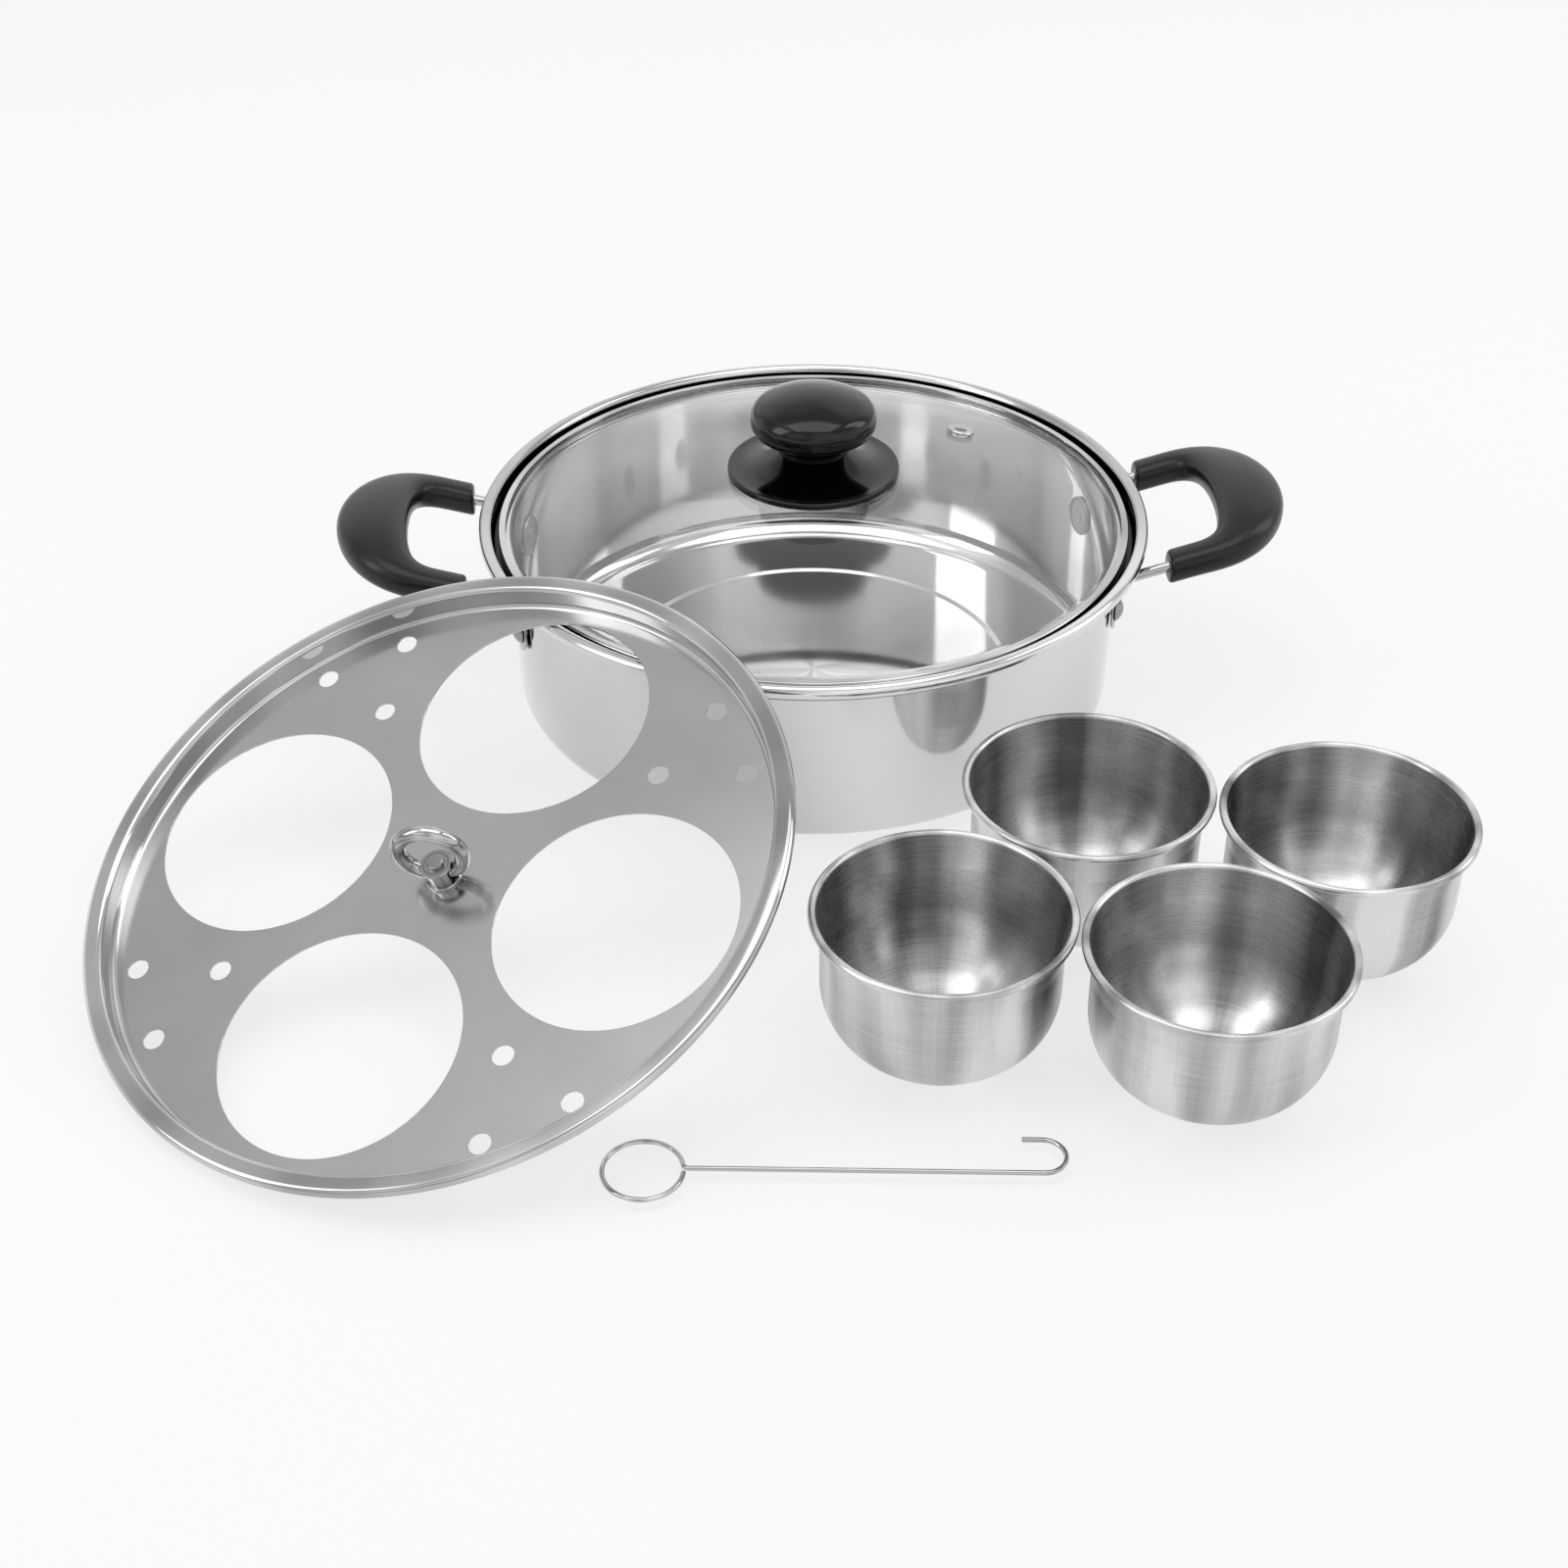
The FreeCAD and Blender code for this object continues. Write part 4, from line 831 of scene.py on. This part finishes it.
def makePost():
    p = post

    # Two flats on the barrel; the foot and the bore stay round.
    def flats(radius, y, z):
        cut = z > p["footThick"] and radius > p["bore"]
        return p["flat"] - (p["barrel"] - radius) if cut else p["foot"]

    # The swinging ring's opening is a torus about the hinge: across = sqrt(reach^2 - (spoke - ringReach)^2).
    def notches(radius, y, z):
        spoke = np.hypot(y, z - p["hinge"])
        return np.sqrt(np.maximum(p["capReach"] ** 2 - (spoke - ring["reach"]) ** 2, 1.0))

    foot, top = p["footThick"], p["top"]
    bore, wide, barrel = p["bore"], p["foot"], p["barrel"]
    rows = [(bore, 0), (wide - 0.1, 0), (wide, 0.1), (wide, foot - 0.2), (wide - 0.2, foot),
            (barrel, foot + 0.001), (barrel, top - 0.25), (barrel - 0.25, top), (bore, top)]
    piece = makePiece("ringPost", [(cutRows(rows, flats, 96), True, True)], barSteel, postMove, 35)
    dress(piece, "set", "bright_steel", "ring_post")

    low, top, cap = p["capLow"], p["capTop"], p["cap"]
    rows = [(bore, low), (cap - 0.15, low), (cap, low + 0.15), (cap, top - 0.2), (cap - 0.2, top),
            (cap - 1.2, top), (bore, top)]
    piece = makePiece("ringCap", [(cutRows(rows, notches, 128), True, True)], barSteel, postMove, 35)
    dress(piece, "set", "bright_steel", "ring_cap")

    swing = np.linspace(0, np.pi / 2, 9)
    head, tail, shank, bend = p["head"], p["tail"], p["shank"], p["headRound"]
    high, base = p["headLow"] + p["headThick"], p["tailTop"] - p["tailThick"]
    crown = np.stack([head - bend + bend * np.cos(swing), high - bend + bend * np.sin(swing)], axis=1)
    loop = np.concatenate([
        [(0, base), (tail - 0.5, base), (tail - 0.15, base + 0.15), (tail, base + 0.5), (tail, p["tailTop"]),
         (shank, p["tailTop"]), (shank, p["headLow"]), (head, p["headLow"])], crown, [(0, high)]])
    piece = makePiece("ringRivet", [(turnedGrid(loop, 64), True, False)], headed, postMove, 30)
    dress(piece, "set", "bright_steel", "ring_rivet")


# Lifting ring: one bar bent to a circle, whose two ends turn in to the hinge and carry a pin each.
def makeRing():
    r = ring
    meet = math.acos(r["start"] / (r["radius"] - r["elbow"]))
    low = np.linspace(-np.pi / 2, -meet, 8)[:-1]
    elbow = r["elbow"] * np.stack([np.cos(low), 1 + np.sin(low)], axis=1) + np.array([r["start"], 0])
    sweep = np.linspace(-meet, np.pi + meet, 150)
    circle = np.stack([r["radius"] * np.cos(sweep), r["reach"] + r["radius"] * np.sin(sweep)], axis=1)
    line = np.concatenate([elbow, circle, elbow[::-1] * np.array([-1, 1])])
    centres = np.stack([line[:, 0], line[:, 1], 0 * line[:, 0]], axis=1)
    ahead = np.gradient(centres, axis=0)
    ahead /= np.linalg.norm(ahead, axis=1)[:, None]
    ahead[0] = ahead[-1] = (1, 0, 0)
    up = np.zeros_like(centres)
    up[:, 2] = 1.0
    across = np.cross(ahead, up)
    width = np.full(len(centres), r["bar"])
    grids = [(roundedEnds(sweptGrid(centres, across, up, width, width, 1.0, 48), centres), False, True)]
    for side in (1, -1):
        pin = np.array([(side * r["pinFrom"], 0, 0), (side * r["pinTo"], 0, 0)])
        frameY = np.repeat([[0, 1.0, 0]], 2, axis=0)
        frameZ = np.repeat([[0, 0, 1.0]], 2, axis=0)
        thin = np.full(2, r["pin"])
        grids.append((roundedEnds(sweptGrid(pin, frameY, frameZ, thin, thin, 1.0, 24), pin), False, True))
    move = (postTurn @ turnAbout("X", r["angle"]), postTurn @ np.array([0, 0, post["hinge"]]) + postMove[1])
    piece = makePiece("liftRing", grids, barSteel, move)
    dress(piece, "ring", "bright_steel", "lift_ring")


makePost()
makeRing()
print("tray made")


cup = {"sheet": 0.6, "rim": 41.8, "height": 52.2, "wall": 38.0, "base": 25.0, "roll": 1.0, "flareDrop": 12.0,
       "flareBend": 14.0, "gap": 0.7, "row": -12.2, "column": 52.2, "azimuth": -59.1, "clearance": 6.6,
       "seamTurn": 67}


def cupPlaces():
    side = 2 * cup["rim"] + cup["gap"]
    row, column = polar(side, cup["row"]), polar(side, cup["column"])
    near = polar(pot["rim"] + cup["rim"] + cup["clearance"], cup["azimuth"])
    return [near - column, near - column + row, near, near + row]


def makeCups():
    half = cup["sheet"] / 2
    neck = cup["rim"] - half - 2 * cup["roll"]
    corners = [(0, half, 0), (cup["wall"] - half, half, cup["base"]),
               (cup["wall"] - half, cup["height"] - cup["flareDrop"], cup["flareBend"])]
    corners += rolledBead(neck, cup["height"] - half, cup["roll"])
    grid = turnedGrid(sheetLoop(corners, cup["sheet"], 14), 192)
    for number, place in enumerate(cupPlaces(), 1):
        spin = turnAbout("Z", cup["seamTurn"] * number)
        piece = makePiece("eggCup" + str(number), [(grid, True, True)], spun, (spin, place))
        dress(piece, "set", "brushed_steel", "egg_cup_" + str(number))


makeCups()
print("cups made")


hook = {"wire": 0.8, "ring": 12.2, "start": -3.0, "end": 12.0, "neck": 1.8, "shank": 106.0, "curl": 7.0,
        "tip": 6.0, "x": -53.919, "y": -275.095, "heading": -1.4}


# Flat path of runs and arcs; each arc is its start turned about its centre.
def hookPath():
    here = polar(hook["ring"], hook["start"])[:2]
    heading = hook["start"] - 90
    sweep = 360 + hook["start"] - hook["end"]
    moves = [(hook["ring"], -sweep), (hook["neck"], 90 - hook["end"]), (0, hook["shank"]),
             (hook["curl"], 180), (0, hook["tip"])]
    parts = [here[None]]
    for bend, amount in moves:
        if bend == 0:
            here = here + polar(amount, heading)[:2]
            parts.append(here[None])
            continue
        side = math.copysign(1.0, amount)
        centre = here + polar(bend * side, heading + 90)[:2]
        angles = np.radians(np.linspace(0, amount, max(8, int(abs(amount) / 3))))[1:]
        spoke = here - centre
        arc = np.stack([spoke[0] * np.cos(angles) - spoke[1] * np.sin(angles),
                        spoke[0] * np.sin(angles) + spoke[1] * np.cos(angles)], axis=1) + centre
        parts.append(arc)
        here = arc[-1]
        heading += amount
    return np.concatenate(parts)


def makeHook():
    path = hookPath()
    centres = np.stack([path[:, 0], path[:, 1], 0 * path[:, 0]], axis=1)
    ahead = np.gradient(centres, axis=0)
    ahead /= np.linalg.norm(ahead, axis=1)[:, None]
    up = np.zeros_like(centres)
    up[:, 2] = 1.0
    side = np.cross(ahead, up)
    width = np.full(len(centres), hook["wire"])
    grid = roundedEnds(sweptGrid(centres, side, up, width, width, 1.0, 24), centres)
    move = (turnAbout("Z", hook["heading"]), np.array([hook["x"], hook["y"], hook["wire"]]))
    piece = makePiece("liftingHook", [(grid, False, True)], steel, move, 50)
    dress(piece, "set", "bright_steel", "lifting_hook")


makeHook()
print("hook made")

for node in ("knob_screw", "knob_washer"):
    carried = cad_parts[node]
    carried.data.materials.clear()
    carried.data.materials.append(satin)


studio = {"floorHalf": 6.0, "floorGap": 0.0002, "soft": 0.6, "paper": "#f4f4f4", "paperGlow": 0.72,
          "cloth": 1.7, "clothLow": 0.4, "clothHigh": 0.56, "roomLow": 0.6, "roomHigh": 1.05, "film": 36.0,
          "focal": 54.457, "eye": (-11.33, -783.69, 505.44), "pitch": 35.54, "roll": -0.23}
# Each softbox: its place and size in metres and its watts.
softboxes = {"softboxTop": ((0.0, -0.1, 1.9), (1.6, 1.2), 9.0),
             "softboxLeft": ((-1.6, -0.6, 1.1), (0.7, 1.3), 6.0),
             "softboxRight": ((1.5, 0.3, 1.2), (0.6, 1.3), 5.0)}


# Mixes what lights the set with what camera, metal and glass see.
def whiteWhenSeen(tree, plain, seen):
    ray = addNode(tree, "ShaderNodeLightPath").outputs
    first = mathNode(tree, "MAXIMUM", ray["Is Camera Ray"], ray["Is Glossy Ray"])
    both = mathNode(tree, "MAXIMUM", first, ray["Is Transmission Ray"])
    return addNode(tree, "ShaderNodeMixShader", {}, {0: both, 1: plain, 2: seen}).outputs["Shader"]


# The world: soft white light, a white background, and for metal a room with paler and darker parts.
def makeWorld():
    world = bpy.data.worlds.new("studio")
    bpy.context.scene.world = world
    world.use_nodes = True
    tree = world.node_tree
    tree.nodes.clear()
    plain = {"Color": (1, 1, 1, 1)}
    soft = addNode(tree, "ShaderNodeBackground", {"Strength": studio["soft"], **plain})
    white = addNode(tree, "ShaderNodeBackground", {"Strength": 1.0, **plain})
    place = addNode(tree, "ShaderNodeTexCoord").outputs["Generated"]
    cloth = noiseAt(tree, place, studio["cloth"], 1.0)
    level = stretched(tree, cloth, studio["clothLow"], studio["clothHigh"],
                      studio["roomLow"], studio["roomHigh"])
    room = addNode(tree, "ShaderNodeBackground", plain, {"Strength": level})
    ray = addNode(tree, "ShaderNodeLightPath")
    metal = addNode(tree, "ShaderNodeMixShader", {}, {0: ray.outputs["Is Glossy Ray"],
                                                      1: white.outputs["Background"],
                                                      2: room.outputs["Background"]})
    mix = whiteWhenSeen(tree, soft.outputs["Background"], metal.outputs["Shader"])
    addNode(tree, "ShaderNodeOutputWorld", {}, {"Surface": mix})


# White paper just under the set's lowest point: it glows for camera, metal and glass, and shows the shadow.
def makeFloor():
    paper, tree = newMaterial("white sweep paper")
    matt = addNode(tree, "ShaderNodeBsdfDiffuse", {"Color": linearColour(studio["paper"])})
    glow = addNode(tree, "ShaderNodeEmission", {"Color": (1, 1, 1, 1), "Strength": 1.0})
    mix = addNode(tree, "ShaderNodeMixShader", {0: studio["paperGlow"]},
                  {1: matt.outputs["BSDF"], 2: glow.outputs["Emission"]})
    closeMaterial(tree, whiteWhenSeen(tree, matt.outputs["BSDF"], mix.outputs["Shader"]))
    mesh = bpy.data.meshes.new("floor")
    h, low = studio["floorHalf"], cadBounds[0][2] - studio["floorGap"]
    mesh.from_pydata([(-h, -h, low), (h, -h, low), (h, h, low), (-h, h, low)], [], [(0, 1, 2, 3)])
    mesh.materials.append(paper)
    floor = bpy.data.objects.new("floor", mesh)
    bpy.context.scene.collection.objects.link(floor)


def makeLamps():
    for name, (spot, size, watts) in softboxes.items():
        lamp = bpy.data.lights.new(name, "AREA")
        lamp.shape = "RECTANGLE"
        lamp.size, lamp.size_y = size
        lamp.energy = watts
        light = bpy.data.objects.new(name, lamp)
        light.location = spot
        light.rotation_mode = "QUATERNION"
        light.rotation_quaternion = (-Vector(spot)).to_track_quat("-Z", "Y")
        bpy.context.scene.collection.objects.link(light)


def makeCamera():
    data = bpy.data.cameras.new("camera")
    data.sensor_width = studio["film"]
    data.sensor_fit = "HORIZONTAL"
    data.lens = studio["focal"]
    data.clip_start, data.clip_end = 0.01, 50.0
    pitch, roll = math.radians(studio["pitch"]), math.radians(studio["roll"])
    ahead = np.array([0, math.cos(pitch), -math.sin(pitch)])
    right = np.array([1.0, 0, 0])
    up = np.cross(right, ahead)
    across = math.cos(roll) * right + math.sin(roll) * up
    above = -math.sin(roll) * right + math.cos(roll) * up
    place = Matrix(np.stack([across, above, -ahead], axis=1).tolist()).to_4x4()
    place.translation = [v * mm for v in studio["eye"]]
    camera = bpy.data.objects.new("camera", data)
    bpy.context.scene.collection.objects.link(camera)
    camera.matrix_world = place
    bpy.context.scene.camera = camera


makeWorld()
makeFloor()
makeLamps()
makeCamera()
bpy.context.scene.view_settings.view_transform = "Standard"
print("studio made")
